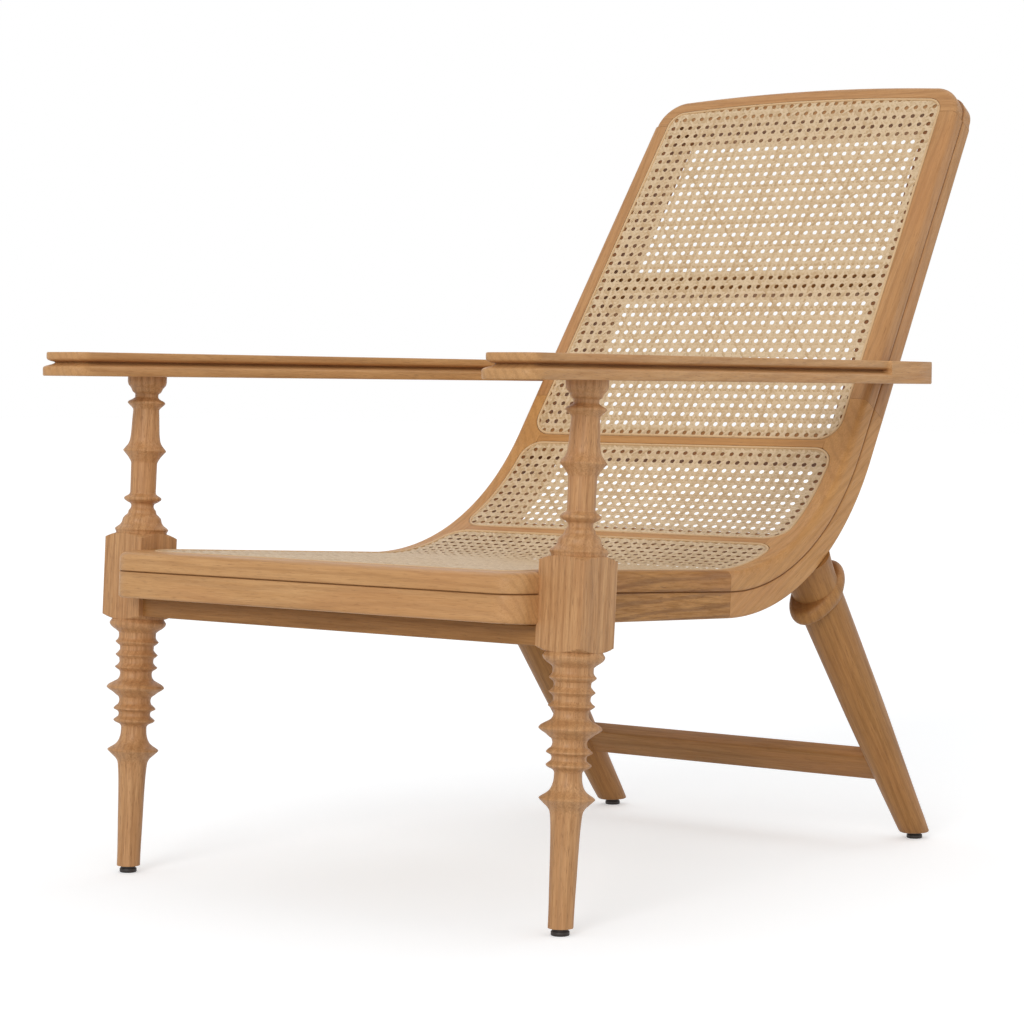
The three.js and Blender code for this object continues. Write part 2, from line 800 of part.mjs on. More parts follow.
for (const [label, side] of sides) {
  const lower = turned(lowerTurningShares, 0, blockBottom);
  const upper = turned(upperTurningShares, blockTop, armUnderside + lap);
  const whole = toGeometry(lower.add(blockSolid()).add(upper));
  whole.rotateY(side * frontLegSplay);
  whole.rotateX(-frontLegRake);
  const [x, y] = frontLegAxis(side, 0);
  whole.translate(x, y, 0);
  const reach = 2 * blockWidth;
  const floorCut = boxSolid([x - reach, y - reach, -overrun], [x + reach, y + reach, glideHeight]);
  const armCutFrom = [x - reach, y - reach, armUnderside - clearance];
  const armCut = boxSolid(armCutFrom, [x + reach, y + reach, armUnderside + overrun]);
  const leg = toSolid(whole)
    .subtract(floorCut)
    .subtract(armCut)
    .add(postTenon(side, 0))
    .subtract(envelope)
    .subtract(bearerBox(clearance))
    .subtract(nailHole(x, y))
    .subtract(bores);
  addPiece(`front_leg_${label}`, leg, oakLight);
  addPiece(`front_glide_${label}`, glidePiece(x, y), glidePlastic);
}

// Arms: a moulded edge along the board, stopped short of the plain rear end
function armOutline(side) {
  const innerFront = frontLegHalfSpacing + armHeadOffset - armHeadHalfWidth;
  const outerFront = innerFront + 2 * armHeadHalfWidth;
  const innerRear = shellHalfWidth(backStationAt(armUnderside, upperLayer)) + clearance;
  const outerRear = innerRear + armRearWidth;
  const headEnd = armHeadRadius - armFront;
  const stop = armRear - armBlockLength;
  const edgeX = (front, rear, y) => THREE.MathUtils.mapLinear(y, headEnd, armRear, front, rear);
  return (level) => {
    const inset = level.setback;
    const blockInset = level.blockSetback;
    const radius = armHeadRadius - inset;
    const longEdge = (front, rear, sign) => [
      [edgeX(front, rear, stop) + sign * inset, stop],
      [edgeX(front, rear, stop) + sign * blockInset, stop + armGrooveRunout],
      [rear + sign * blockInset, armRear - blockInset],
    ];
    const points = [
      ...cornerArc(outerFront - armHeadRadius, headEnd, radius, -Math.PI / 2, 0, railCornerSteps),
      ...longEdge(outerFront, outerRear, -1),
      ...longEdge(innerFront, innerRear, 1).reverse(),
      ...cornerArc(innerFront + armHeadRadius, headEnd, radius, -Math.PI, -Math.PI / 2, railCornerSteps),
    ];
    return points.map(([px, py]) => [side * px, py]);
  };
}

const armLevels = [
  { depth: 0, setback: armTopSetback + armEdgeRound, blockSetback: armEdgeRound / 2 },
  { depth: armEdgeRound, setback: armTopSetback, blockSetback: 0 },
  { depth: armTopLayer - armBevel, setback: armTopSetback, blockSetback: 0 },
  { depth: armTopLayer, setback: armTopSetback + 2 * armBevel, blockSetback: 0 },
  { depth: armTopLayer + armEdgeRound, setback: armGrooveDepth, blockSetback: 0 },
  { depth: armTopLayer + armGrooveHeight, setback: armGrooveDepth - armEdgeRound, blockSetback: 0 },
  { depth: armTopLayer + armGrooveHeight + armShoulder / 2, setback: armShoulder, blockSetback: 0 },
  { depth: armTopLayer + armGrooveHeight + armShoulder, setback: 0, blockSetback: 0 },
  { depth: armThickness - armEdgeRound, setback: 0, blockSetback: 0 },
  { depth: armThickness, setback: armEdgeRound, blockSetback: armEdgeRound / 2 },
].map((level) => ({ ...level, height: armTop - level.depth }));

for (const [label, side] of sides) {
  const arm = stackSolid(armLevels, armOutline(side)).subtract(postTenon(side, clearance)).subtract(bores);
  addPiece(`arm_${label}`, arm, oak);
}

// Rear legs: round, tapering, each with an oval knuckle turned just under the shell
function rearLegRing(x, level, radius, tilt) {
  const [y, z] = rearLegAxis(level);
  const stretch = radius / Math.cos(rearLegLean - tilt);
  const points = [];
  for (let side = 0; side < turningSides; side += 1) {
    const angle = (side * 2 * Math.PI) / turningSides;
    const across = radius * Math.cos(angle);
    const along = stretch * Math.sin(angle);
    points.push([x + across, y + along * Math.cos(tilt), z + along * Math.sin(tilt)]);
  }
  return points;
}

function rearLegSolid(x) {
  const rings = [
    rearLegRing(x, glideHeight, rearLegFootRadius - rearLegChamfer, 0),
    rearLegRing(x, glideHeight + rearLegChamfer, rearLegFootRadius, 0),
    rearLegRing(x, rearLegMiddle, rearLegMiddleRadius, rearLegLean),
    rearLegRing(x, knuckleHeight, rearLegTopRadius, rearLegLean),
    rearLegRing(x, rearSeatLevel + rearNeckRadius, rearNeckRadius, rearLegLean),
  ];
  return toSolid(loftGeometry(rings));
}

function knuckleSolid(x) {
  const edge = knuckleThickness / 2;
  const middle = knuckleLength / 2 - edge;
  const profile = [new THREE.Vector2(0, -edge)];
  for (let step = 0; step <= knuckleSteps; step += 1) {
    const angle = (step / knuckleSteps - 1 / 2) * Math.PI;
    profile.push(new THREE.Vector2(middle + edge * Math.cos(angle), edge * Math.sin(angle)));
  }
  profile.push(new THREE.Vector2(0, edge));
  const geometry = new THREE.LatheGeometry(profile, knuckleSides);
  geometry.scale(knuckleWidth / knuckleLength, 1, 1);
  geometry.rotateX(Math.PI / 2 + rearLegLean);
  const [y, z] = rearLegAxis(knuckleHeight);
  geometry.translate(x, y, z);
  return toSolid(geometry);
}

function stretcherSolid(gap) {
  const half = rearLegHalfSpacing + stretcherHousing - rearLegFootRadius + gap;
  const height = stretcherHeight / 2 + gap;
  const thickness = stretcherThickness / 2 + gap;
  const geometry = new THREE.BoxGeometry(2 * half, 2 * thickness, 2 * height);
  geometry.rotateX(rearLegLean);
  const [y, z] = rearLegAxis(stretcherLevel);
  geometry.translate(0, y, z);
  return toSolid(geometry);
}

addPiece("rear_stretcher", stretcherSolid(0), oak);

for (const [label, side] of sides) {
  const x = side * rearLegHalfSpacing;
  const leg = rearLegSolid(x)
    .add(knuckleSolid(x))
    .subtract(envelope)
    .subtract(stretcherSolid(clearance))
    .subtract(nailHole(x, rearLegFoot))
    .subtract(bores);
  addPiece(`rear_leg_${label}`, leg, oak);
  addPiece(`rear_glide_${label}`, glidePiece(x, rearLegFoot), glidePlastic);
}

for (const { name, from, to, radius, material } of fasteners) {
  addPiece(name, toSolid(rodGeometry(from, to, radius)), material);
}

// The chair stands on the origin's plane, with the origin under the middle of its box.
const extent = new THREE.Box3().setFromObject(chair);
const middle = extent.getCenter(new THREE.Vector3());
chair.position.set(0, -middle.y, -extent.min.z);
chair.updateMatrixWorld(true);

export default chair;
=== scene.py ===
"""Planters chair in natural oak and woven cane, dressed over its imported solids.

Sizes are in millimetres in the build's own frame, where Y is zero at the front feet, and
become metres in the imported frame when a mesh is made. Places on the seat and back are given
in flat shell coordinates: x across, a station along the seam between the shell's two layers,
and a height over that seam.
"""
import math

import bpy
import numpy as np
from mathutils import Matrix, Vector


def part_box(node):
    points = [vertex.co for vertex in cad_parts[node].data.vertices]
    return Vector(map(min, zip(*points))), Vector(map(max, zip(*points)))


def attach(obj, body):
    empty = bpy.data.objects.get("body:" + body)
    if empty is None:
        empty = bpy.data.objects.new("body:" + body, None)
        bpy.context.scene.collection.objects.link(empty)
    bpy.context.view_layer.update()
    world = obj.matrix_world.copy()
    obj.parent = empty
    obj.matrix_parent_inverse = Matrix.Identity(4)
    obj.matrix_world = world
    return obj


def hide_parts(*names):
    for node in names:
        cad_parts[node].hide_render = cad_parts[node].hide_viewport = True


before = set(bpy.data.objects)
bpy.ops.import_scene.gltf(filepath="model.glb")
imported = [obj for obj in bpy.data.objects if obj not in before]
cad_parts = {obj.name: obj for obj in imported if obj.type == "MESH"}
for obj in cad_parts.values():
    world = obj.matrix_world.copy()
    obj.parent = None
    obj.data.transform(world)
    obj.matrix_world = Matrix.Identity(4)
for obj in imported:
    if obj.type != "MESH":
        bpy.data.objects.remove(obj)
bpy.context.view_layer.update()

# The shell
SHELL_FRONT, SHELL_TOP = 281.5, 224.7  # half widths at its front and top
UPPER, LOWER_FRONT, LOWER_TOP, LOWER_THINNING = 23.0, 31.2, 20.4, 1.4
SEAM_HEIGHT, OVERHANG, SEAT_RUN = 342.1, 53.5, 409.0
SEAT_FALL, BACK_LEAN = math.radians(2.54), math.radians(33)
SEAM_RADIUS, BACK_RUN = 330.6, 528.0
FRONT_CORNER, TOP_CORNER, LOWER_TOP_CORNER, CROWN = 27.0, 40.0, 32.0, 11.0
FRONT_DROP, FRONT_DROP_RUN, SEAM_DROP_SHARE = 4.0, 90.0, 0.3
GAP, SEAM_CHAMFER, EDGE_ROUND, UNDER_ROUND = 0.15, 1.3, 8.0, 4.0
RAIL_FACE, SPLINE, SIDE_LEDGE, LEDGE_DEPTH = 21.5, 4.2, 12.0, 1.8
FRONT_FACE, FRONT_LEDGE, TOP_FACE, TOP_LEDGE = 28.5, 13.0, 19.0, 25.0
STRAP_FACE, STRAP_LEDGE, STRAP_DEPTH, STRAP_ARRIS = 11.0, 12.5, 26.0, 0.5
SEAT_PANEL, LUMBAR_PANEL, CANE_CORNER, CANE_TOP_CORNER = 523.5, 170.0, 26.0, 21.0
HIDDEN_WIDTH, HIDDEN_DEPTH, HIDDEN_FROM_TOP = 29.0, 26.0, 282.0
CURVE_PAST_ARC, JOINT = 57.5, 0.3  # how far a curved rail runs on up the back, and a joint's gap

# The cane: its holes' pitch, a strand's width, half the distance of a pair, half thickness
PITCH, STRAND, PAIR, THIN = 13.4, 3.7, 1.95, 0.5
CANE_DEPTH, SPLINE_SLACK, SPLINE_ROOT, SPLINE_SHOULDER, SPLINE_DOME = 1.15, 0.55, 5.0, 0.4, 1.1

# Legs, arms and glides
LEG_X, LEG_RAKE, LEG_SPLAY = 303.0, math.radians(3.25), math.radians(0.4)
BLOCK, BLOCK_BOTTOM, BLOCK_TOP, BLOCK_SHOULDER = 28.7, 283.0, 378.3, 5.0
BLOCK_NECK, BLOCK_ARRIS = 29.0, 0.9
ARM_TOP, ARM_THICK, ARM_FRONT, ARM_REAR, ARM_STOP = 579.0, 26.0, -105.0, 721.0, 621.0
ARM_HEAD, ARM_HEAD_RADIUS, ARM_HEAD_OFFSET, ARM_REAR_WIDTH = 36.5, 20.0, 3.7, 53.0
REAR_X, REAR_FOOT, REAR_LEAN = 228.0, 814.0, math.radians(36.9)
REAR_RADII, REAR_MIDDLE = (17.0, 24.0, 28.0, 32.0), 165.0
KNUCKLE_HEIGHT, KNUCKLE_THICK, KNUCKLE_LENGTH, KNUCKLE_WIDTH = 311.0, 19.5, 94.0, 60.0
KNUCKLE_TILT, KNUCKLE_SOFT = 0.13, 1.4
STRETCHER_LEVEL, STRETCHER = 95.5, np.array([220, 9.5, 18])  # half its length, width, depth
GLIDE_RADIUS, GLIDE_HEIGHT = 9.5, 7.6

MM = 0.001
LUMBAR_RUN = SEAM_RADIUS * (math.pi / 2 - BACK_LEAN + SEAT_FALL)
SHELL_LENGTH = SEAT_RUN + LUMBAR_RUN + BACK_RUN
ARC_Y = SEAT_RUN * math.cos(SEAT_FALL) + SEAM_RADIUS * math.sin(SEAT_FALL) - OVERHANG
ARC_Z = SEAM_HEIGHT - SEAT_RUN * math.sin(SEAT_FALL) + SEAM_RADIUS * math.cos(SEAT_FALL)
FRONT_RAIL = FRONT_FACE + SPLINE + FRONT_LEDGE
TOP_RAIL_START = SHELL_LENGTH - TOP_FACE - SPLINE - TOP_LEDGE
RAIL_WIDTH = RAIL_FACE + SPLINE + SIDE_LEDGE
LEDGE, CANE_LEVEL, WALL = UPPER - LEDGE_DEPTH, UPPER - CANE_DEPTH, SPLINE / 2
LEG_UP = np.array([-math.sin(REAR_LEAN), math.cos(REAR_LEAN)])  # in y and z
LEG_BACK = np.array([math.cos(REAR_LEAN), math.sin(REAR_LEAN)])
FOOT_Y = sum(corner[1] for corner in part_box("front_glide_left")) / 2
SIDES = (("left", 1), ("right", -1))
rng = np.random.default_rng(7)


# Shell coordinates

def seam(station):
    """The seam runs straight along the seat, round an arc of the seam's radius, and straight
    up the back. Gives y and z of a station, and the two parts of the normal there."""
    curve = np.clip(station - SEAT_RUN, 0, LUMBAR_RUN)
    angle = curve / SEAM_RADIUS - SEAT_FALL
    past = station - SEAT_RUN - curve
    y = ARC_Y + SEAM_RADIUS * np.sin(angle) + past * np.cos(angle)
    z = ARC_Z - SEAM_RADIUS * np.cos(angle) + past * np.sin(angle)
    return y, z, -np.sin(angle), np.cos(angle)


def shell_point(x, station, height):
    """A point is the seam's place at its station plus its height along the seam's normal. The
    shell droops towards its front edge, by the square of the nearness to the edge: in full at
    its top face, by a share at the seam, and upwards by that share at its underside."""
    x, station, height = np.broadcast_arrays(x, station, height)
    drop = FRONT_DROP * np.clip(1 - station / FRONT_DROP_RUN, 0, 1) ** 2
    above = SEAM_DROP_SHARE + (1 - SEAM_DROP_SHARE) * height / UPPER
    below = SEAM_DROP_SHARE * (1 + 2 * height / LOWER_FRONT)
    height = height - drop * np.where(height > 0, above, below)
    y, z, normal_y, normal_z = seam(station)
    return np.stack([x, y + height * normal_y, z + height * normal_z], -1)


def half_width(station):
    """The shell narrows evenly from its front to its top."""
    return SHELL_FRONT + (SHELL_TOP - SHELL_FRONT) * station / SHELL_LENGTH


def lower_depth(station):
    """The lower layer thins from the front to the top by a power of the way gone."""
    gone = (np.maximum(station, 0) / SHELL_LENGTH) ** LOWER_THINNING
    return LOWER_FRONT + (LOWER_TOP - LOWER_FRONT) * gone


def crowned(x, station):
    """The top edge falls with the square of the distance from the middle."""
    return station - CROWN * (x / SHELL_TOP) ** 2


# Meshes

def tube(rings, closed=False):
    """A skin over rings of equally many points: each point joins its next around the ring and
    its next along the rings. The last ring joins the first, or else both ends get a face."""
    paths, around, _ = rings.shape
    i = np.arange(paths if closed else paths - 1)[:, None]
    j = np.arange(around)[None, :]
    i2, j2 = (i + 1) % paths, (j + 1) % around
    corners = [i * around + j, i * around + j2, i2 * around + j2, i2 * around + j]
    faces = list(np.stack(corners, -1).reshape(-1, 4))
    if not closed:
        faces += [np.arange(around)[::-1], np.arange(around) + (paths - 1) * around]
    return rings.reshape(-1, 3), faces


def joined(skins):
    """Several skins as one list of points and one of faces."""
    points, faces, count = [], [], 0
    for skin_points, skin_faces in skins:
        points.append(skin_points)
        faces += [np.asarray(face) + count for face in skin_faces]
        count += len(skin_points)
    return np.concatenate(points), faces


def enclosed(points, loops, starts, totals):
    """Six times the volume: the sum over fans of triangles of each one's corner product."""
    first = np.repeat(loops[starts], totals)
    following = np.arange(len(loops)) + 1
    following[starts + totals - 1] = starts
    a, b, c = points[first], points[loops], points[loops[following]]
    return float(np.einsum("ij,ij->i", a, np.cross(b, c)).sum())


def piece(name, skin, material, nodes=(), along=None, painted_shade=None, tone=None, sharp=38):
    """Makes a finished object from points and faces. 'along' gives each point's place in the
    timber (with the grain, across it, and through it), the painted-shade values how much
    painted shade darkens each point where shade falls, and 'tone' its strand's own shade. The
    faces are turned to enclose a positive volume. It takes the place of the node of its own
    name unless others are given."""
    points, faces = skin
    totals = np.array([len(face) for face in faces])
    starts = np.concatenate([[0], np.cumsum(totals)[:-1]])
    loops = np.concatenate([np.asarray(face) for face in faces])
    if enclosed(points, loops, starts, totals) < 0:
        owner = np.repeat(np.arange(len(totals)), totals)
        place = np.arange(len(loops)) - starts[owner]
        loops = loops[starts[owner] + totals[owner] - 1 - place]
    placed = (points + [0, FOOT_Y / MM, 0]) * MM
    mesh = bpy.data.meshes.new(name)
    mesh.vertices.add(len(points))
    mesh.vertices.foreach_set("co", placed.astype(np.float32).ravel())
    mesh.loops.add(len(loops))
    mesh.loops.foreach_set("vertex_index", loops.astype(np.int32))
    mesh.polygons.add(len(totals))
    mesh.polygons.foreach_set("loop_start", starts.astype(np.int32))
    mesh.polygons.foreach_set("use_smooth", np.ones(len(totals), bool))
    mesh.update(calc_edges=True)
    mesh.validate()
    mesh.set_sharp_from_angle(angle=math.radians(sharp))
    grain = placed if along is None else np.asarray(along).reshape(-1, 3) * MM
    field = mesh.attributes.new("grain", "FLOAT_VECTOR", "POINT")
    field.data.foreach_set("vector", (grain + rng.uniform(-3, 3, 3)).astype(np.float32).ravel())
    for label, values in (("painted_shade", painted_shade), ("tone", tone)):
        if values is not None:
            field = mesh.attributes.new(label, "FLOAT", "POINT")
            field.data.foreach_set("value", np.asarray(values, np.float32).ravel())
    mesh.materials.append(material)
    thing = bpy.data.objects.new(name, mesh)
    bpy.context.scene.collection.objects.link(thing)
    nodes = nodes or [name]
    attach(thing, "root")
    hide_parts(*nodes)
    return thing


# Materials

def linear(colour):
    """A screen colour of 0 to 255 as the linear colour that the shaders use."""
    share = np.array(colour) / 255
    return (*np.where(share <= 0.04045, share / 12.92, ((share + 0.055) / 1.055) ** 2.4), 1.0)


class Nodes:
    """A tree whose nodes are made by short calls."""

    def __init__(self, tree):
        self.tree = tree

    def put(self, socket, value):
        """Links an output into a socket, or sets the socket to a plain value."""
        if isinstance(value, bpy.types.NodeSocket):
            self.tree.links.new(value, socket)
        else:
            socket.default_value = value

    def add(self, kind, inputs=(), **settings):
        """A new node with its settings, and with its named inputs linked or set."""
        node = self.tree.nodes.new("ShaderNode" + kind)
        for label, value in settings.items():
            setattr(node, label, value)
        for label, value in dict(inputs).items():
            self.put(node.inputs[label], value)
        return node

    def field(self, name, output):
        """A mesh attribute at the shaded point."""
        return self.add("Attribute", attribute_name=name).outputs[output]

    def noise(self, vector, scale, detail=3.0, roughness=0.55):
        """Noise whose cells are one over the scale long in each direction, from 0 to 1."""
        place = self.add("Mapping", {"Vector": vector, "Scale": scale}).outputs["Vector"]
        inputs = {"Vector": place, "Scale": 1.0, "Detail": detail, "Roughness": roughness}
        return self.add("TexNoise", inputs).outputs["Fac"]

    def sum(self, operation, *values):
        """A sum, a product, a sine or the like of one or two values."""
        node = self.add("Math", operation=operation)
        for socket, value in zip(node.inputs, values):
            self.put(socket, value)
        return node.outputs[0]

    def times(self, first, second):
        """The product of two values."""
        return self.sum("MULTIPLY", first, second)

    def band(self, value, low, high, out_low=0.0, out_high=1.0):
        """The value's span from low to high, carried smoothly to the outer span and held there."""
        inputs = {"Value": value, "From Min": low, "From Max": high,
                  "To Min": out_low, "To Max": out_high}
        return self.add("MapRange", inputs, interpolation_type="SMOOTHSTEP").outputs["Result"]

    def mix(self, share, first, second):
        """The first colour moved towards the second by a share."""
        inputs = {"Factor": share, "A": first, "B": second}
        return self.add("Mix", inputs, data_type="RGBA").outputs["Result"]

    def seen(self):
        """One for rays from the camera, off a gloss or through glass, and nought for others."""
        ray = self.add("LightPath").outputs
        also = self.sum("MAXIMUM", ray["Is Glossy Ray"], ray["Is Transmission Ray"])
        return self.sum("MAXIMUM", ray["Is Camera Ray"], also)


class Shader(Nodes):
    """A new material with its main shader."""

    def __init__(self, name, roughness):
        self.material = bpy.data.materials.new(name)
        self.material.use_nodes = True
        super().__init__(self.material.node_tree)
        self.surface = self.tree.nodes["Principled BSDF"]
        self.surface.inputs["Roughness"].default_value = roughness

    def bump(self, height, distance, strength):
        """Tilts the surface as a height field of this distance would, by a strength."""
        inputs = {"Distance": distance, "Strength": strength, "Height": height}
        self.put(self.surface.inputs["Normal"], self.add("Bump", inputs).outputs["Normal"])


def oak_finish(name, pale, middle, dark, streaks, ticks, rings, ring_share):
    """Open-grained oak under a clear finish. Broad clouds and uneven streaks along the grain
    shift between two tones, growth rings are a faint sine of the place across the timber bent
    by slow noise, and short dark pores are noise drawn out along the grain. A painted shade,
    given at each point, darkens hollows, grooves and ledges where shade falls."""
    oak = Shader(name, 0.52)
    pale, middle, dark = linear(pale), linear(middle), linear(dark)
    grain = oak.field("grain", "Vector")
    axes = oak.add("SeparateXYZ", {"Vector": grain}).outputs
    cloud = oak.band(oak.noise(grain, (9, 46, 46)), 0.32, 0.68)
    broad = oak.band(oak.noise(grain, (12, 330, 330), 3.0, 0.6), 0.34, 0.68)
    streak = oak.band(oak.noise(grain, (30, 760, 760), 4.0, 0.65), 0.36, 0.68)
    sway = oak.noise(grain, (3.4, 21, 21))
    across = oak.sum("ADD", axes["Y"], oak.times(axes["Z"], 0.62))
    place = oak.sum("ADD", oak.times(across, rings), oak.times(sway, 15.0))
    ring = oak.band(oak.sum("SINE", place), 0.0, 1.0)
    fibre = oak.noise(grain, (40, 1300, 1300), 3.0, 0.6)
    pore = oak.band(oak.noise(grain, (70, 1150, 1150), 2.0, 0.5), 0.58, 0.7)
    figure = oak.sum("ADD", oak.times(broad, 0.55), oak.times(streak, 0.45))
    blush = oak.band(oak.noise(grain, (4.2, 17, 17), 1.0), 0.45, 0.7)
    colour = oak.mix(oak.times(figure, streaks), pale, middle)
    # The last tone is painted shade: a dark brown laid on as far as the painted-shade attribute
    # gives.
    for share, tone in ((oak.times(cloud, 0.35), middle), (oak.times(ring, ring_share), dark),
                        (oak.band(fibre, 0.4, 0.7, 0.0, 0.14), dark),
                        (oak.times(pore, ticks), dark),
                        (oak.times(blush, 0.16), linear((186, 120, 70))),
                        (oak.field("painted_shade", "Fac"), linear((120, 72, 34)))):
        colour = oak.mix(share, colour, tone)
    oak.put(oak.surface.inputs["Base Color"], colour)
    oak.put(oak.surface.inputs["Roughness"], oak.band(figure, 0.2, 0.9, 0.44, 0.58))
    oak.surface.inputs["Specular IOR Level"].default_value = 0.35
    oak.bump(oak.sum("SUBTRACT", oak.times(streak, 0.25), pore), 0.00014, 0.45)
    return oak.material


def cane_finish(name, pale, deep):
    """Rattan skin: each strand has its own shade, with faint fibres along it and dark specks."""
    cane = Shader(name, 0.42)
    pale, deep = linear(pale), linear(deep)
    grain = cane.field("grain", "Vector")
    colour = cane.mix(cane.field("tone", "Fac"), pale, deep)
    fibre = cane.noise(grain, (60, 1800, 1800))
    colour = cane.mix(cane.band(fibre, 0.45, 0.75, 0.0, 0.35), colour, deep)
    speck = cane.band(cane.noise(grain, (160, 500, 500), 1.0), 0.66, 0.74, 0.0, 0.5)
    colour = cane.mix(speck, colour, linear((150, 108, 62)))
    cane.put(cane.surface.inputs["Base Color"], colour)
    cane.put(cane.surface.inputs["Roughness"], cane.band(fibre, 0.3, 0.7, 0.36, 0.5))
    cane.bump(fibre, 0.00008, 0.5)
    return cane.material


def plain_finish(name, colour, shade, roughness, metal=0.0):
    """One colour clouded by fine noise, for glides, dowels and bolts."""
    plain = Shader(name, roughness)
    cloud = plain.noise(plain.add("TexCoord").outputs["Object"], (900.0,) * 3)
    colour = plain.mix(plain.band(cloud, 0.35, 0.65), linear(colour), linear(shade))
    plain.put(plain.surface.inputs["Base Color"], colour)
    plain.surface.inputs["Metallic"].default_value = metal
    plain.bump(cloud, 0.00005, 0.4)
    return plain.material


# Each oak's pale, middle and dark tones, the strength of its streaks and of its pores, and how
# close and how strong its growth rings are
oak, oak_back_painted_shade, oak_striped_and_painted_shade, oak_brown_and_painted_shade, oak_curved, oak_turned = (oak_finish(*row) for row in (
    ("oak", (206, 158, 105), (180, 130, 78), (122, 80, 42), 0.6, 0.35, 620.0, 0.16),
    # This copy of oak, used for the back and top rails, is darker as painted shade, which offsets the
    # stronger light that falls on the back.
    ("oak_back_painted_shade", (196, 147, 96), (170, 120, 71), (116, 75, 39), 0.6, 0.35, 620.0, 0.16),
    # The side seat rails' oak: browner wood with bold streaks, and also darker and more saturated as
    # painted shade for their shaded sides.
    ("oak_striped_and_painted_shade", (196, 141, 74), (150, 100, 42), (98, 58, 18), 1.0, 0.45, 760.0, 0.4),
    # Oak for the bearer, the rear legs, the stretcher and the hidden cross rail: browner wood, and
    # also darker and more saturated as painted shade for their place in shade under the seat.
    ("oak_brown_and_painted_shade", (178, 127, 70), (146, 99, 48), (96, 60, 26), 0.7, 0.35, 620.0, 0.18),
    ("oak_curved", (205, 152, 92), (177, 124, 68), (122, 78, 36), 0.5, 0.28, 620.0, 0.14),
    ("oak_turned", (208, 160, 110), (172, 122, 76), (112, 70, 36), 0.85, 0.5, 700.0, 0.2),
))
woven = cane_finish("woven_cane", (217, 191, 155), (190, 158, 116))
reed = cane_finish("reed", (214, 180, 136), (196, 158, 112))
glide = plain_finish("glide", (44, 34, 28), (30, 24, 20), 0.5)
dowel = plain_finish("dowel", (206, 172, 128), (186, 148, 104), 0.6)
bolt = plain_finish("bolt", (170, 170, 168), (140, 140, 138), 0.35, 1.0)


# The shell's rails

def path(*runs):
    """Runs of places, each given by its x and its station, as one list of points."""
    return np.concatenate([np.stack(np.broadcast_arrays(*run), -1) for run in runs])


def arc(x, station, radius, turn):
    """Places on an arc: its centre plus the radius times the cosine and the sine of a turn."""
    return x + radius * np.cos(turn), station + radius * np.sin(turn)


def soft_corner(radius, steps):
    """Setback and rise of a quarter round, from its face to its top: one less the cosine, and
    the sine, of an even turn."""
    turn = np.linspace(0, math.pi / 2, steps + 1)
    return radius * (1 - np.cos(turn)), radius * np.sin(turn)


def rail(outer, inward, wall, inner, upper):
    """A rail's section carried along rays that run from the shell's edge to the rail's inner
    edge. From the seam's small bevel, the upper layer goes up its outer face, round the arris
    and over the top to the wall of the cane's rebate and its ledge; the lower layer goes down
    and round to its underside. Gives the plan place and the height of each point."""
    plan, height = [], []

    def add(place, level):
        plan.append(place)
        height.append(np.broadcast_to(level, place.shape[:1]))

    way = 1 if upper else -1
    add(inner, way * GAP)
    add(outer + inward * SEAM_CHAMFER, way * GAP)
    add(outer + inward * SEAM_CHAMFER * 0.4, way * (GAP + SEAM_CHAMFER * 0.45))
    add(outer, way * (GAP + SEAM_CHAMFER))
    add(outer, way * (GAP + SEAM_CHAMFER + 3))
    for setback, rise in zip(*soft_corner(EDGE_ROUND if upper else UNDER_ROUND, 8)):
        place = outer + inward * setback
        under = UNDER_ROUND - rise - lower_depth(place[:, 1])
        add(place, UPPER - EDGE_ROUND + rise if upper else under)
    if upper:
        start = outer + inward * EDGE_ROUND
        for share in (0.25, 0.6):
            add(start + (wall - start) * share, UPPER)
        add(wall, UPPER)
        add(wall + (inner - wall) * 0.001, LEDGE)
        add(inner, LEDGE)
    else:
        add(inner, -lower_depth(inner[:, 1]))
    return np.stack(plan, 1), np.stack(height, 1)


def rail_piece(name, plan, height, material, slot="oak_frame", ledge=0.95):
    """Places a rail's rings on the shell, with painted shade in the seam's groove and on the
    ledge under the cane. Its timber runs along the rail; a curved rail is sawn from a straight
    board, so its grain keeps one direction while the rail turns."""
    rings = shell_point(plan[..., 0], plan[..., 1], height)
    along = np.stack([plan[..., 1], plan[..., 0], height], -1)
    if "curve" in name:
        cosine, sine = math.cos(math.radians(27)), math.sin(math.radians(27))
        x, y, z = np.moveaxis(rings, -1, 0)
        along = np.stack([y * cosine + z * sine, z * cosine - y * sine, x], -1)
    if "front" in name or "top" in name:
        along = along[..., [1, 0, 2]]
    # Painted shade: dark in the groove of the seam between the two layers, and on the upper layer's
    # ledge under the cane as much as 'ledge' gives.
    painted_shade = 0.7 * np.exp(-((np.abs(height) - GAP) / 0.9) ** 2)
    if "upper" in name:
        painted_shade[:, -2:] = np.maximum(painted_shade[:, -2:], ledge)
    return piece(name, tube(rings), material, along=along, painted_shade=painted_shade)


def panel_arcs(panel, offset):
    """The centres and radii of a cane panel's outline, moved outwards by an offset; its top
    corners fall with the crown."""
    inset = RAIL_FACE + SPLINE / 2 - offset
    low_radius, high_radius = CANE_CORNER + offset, panel["top_radius"] + offset
    low, high = panel["from"] + CANE_CORNER, panel["to"] - panel["top_radius"]
    low_x = half_width(low) - inset - low_radius
    high_x = half_width(high) - inset - high_radius
    drop = panel["crown"] * (high_x / SHELL_TOP) ** 2
    return low_x, low, low_radius, high_x, high - drop, high_radius


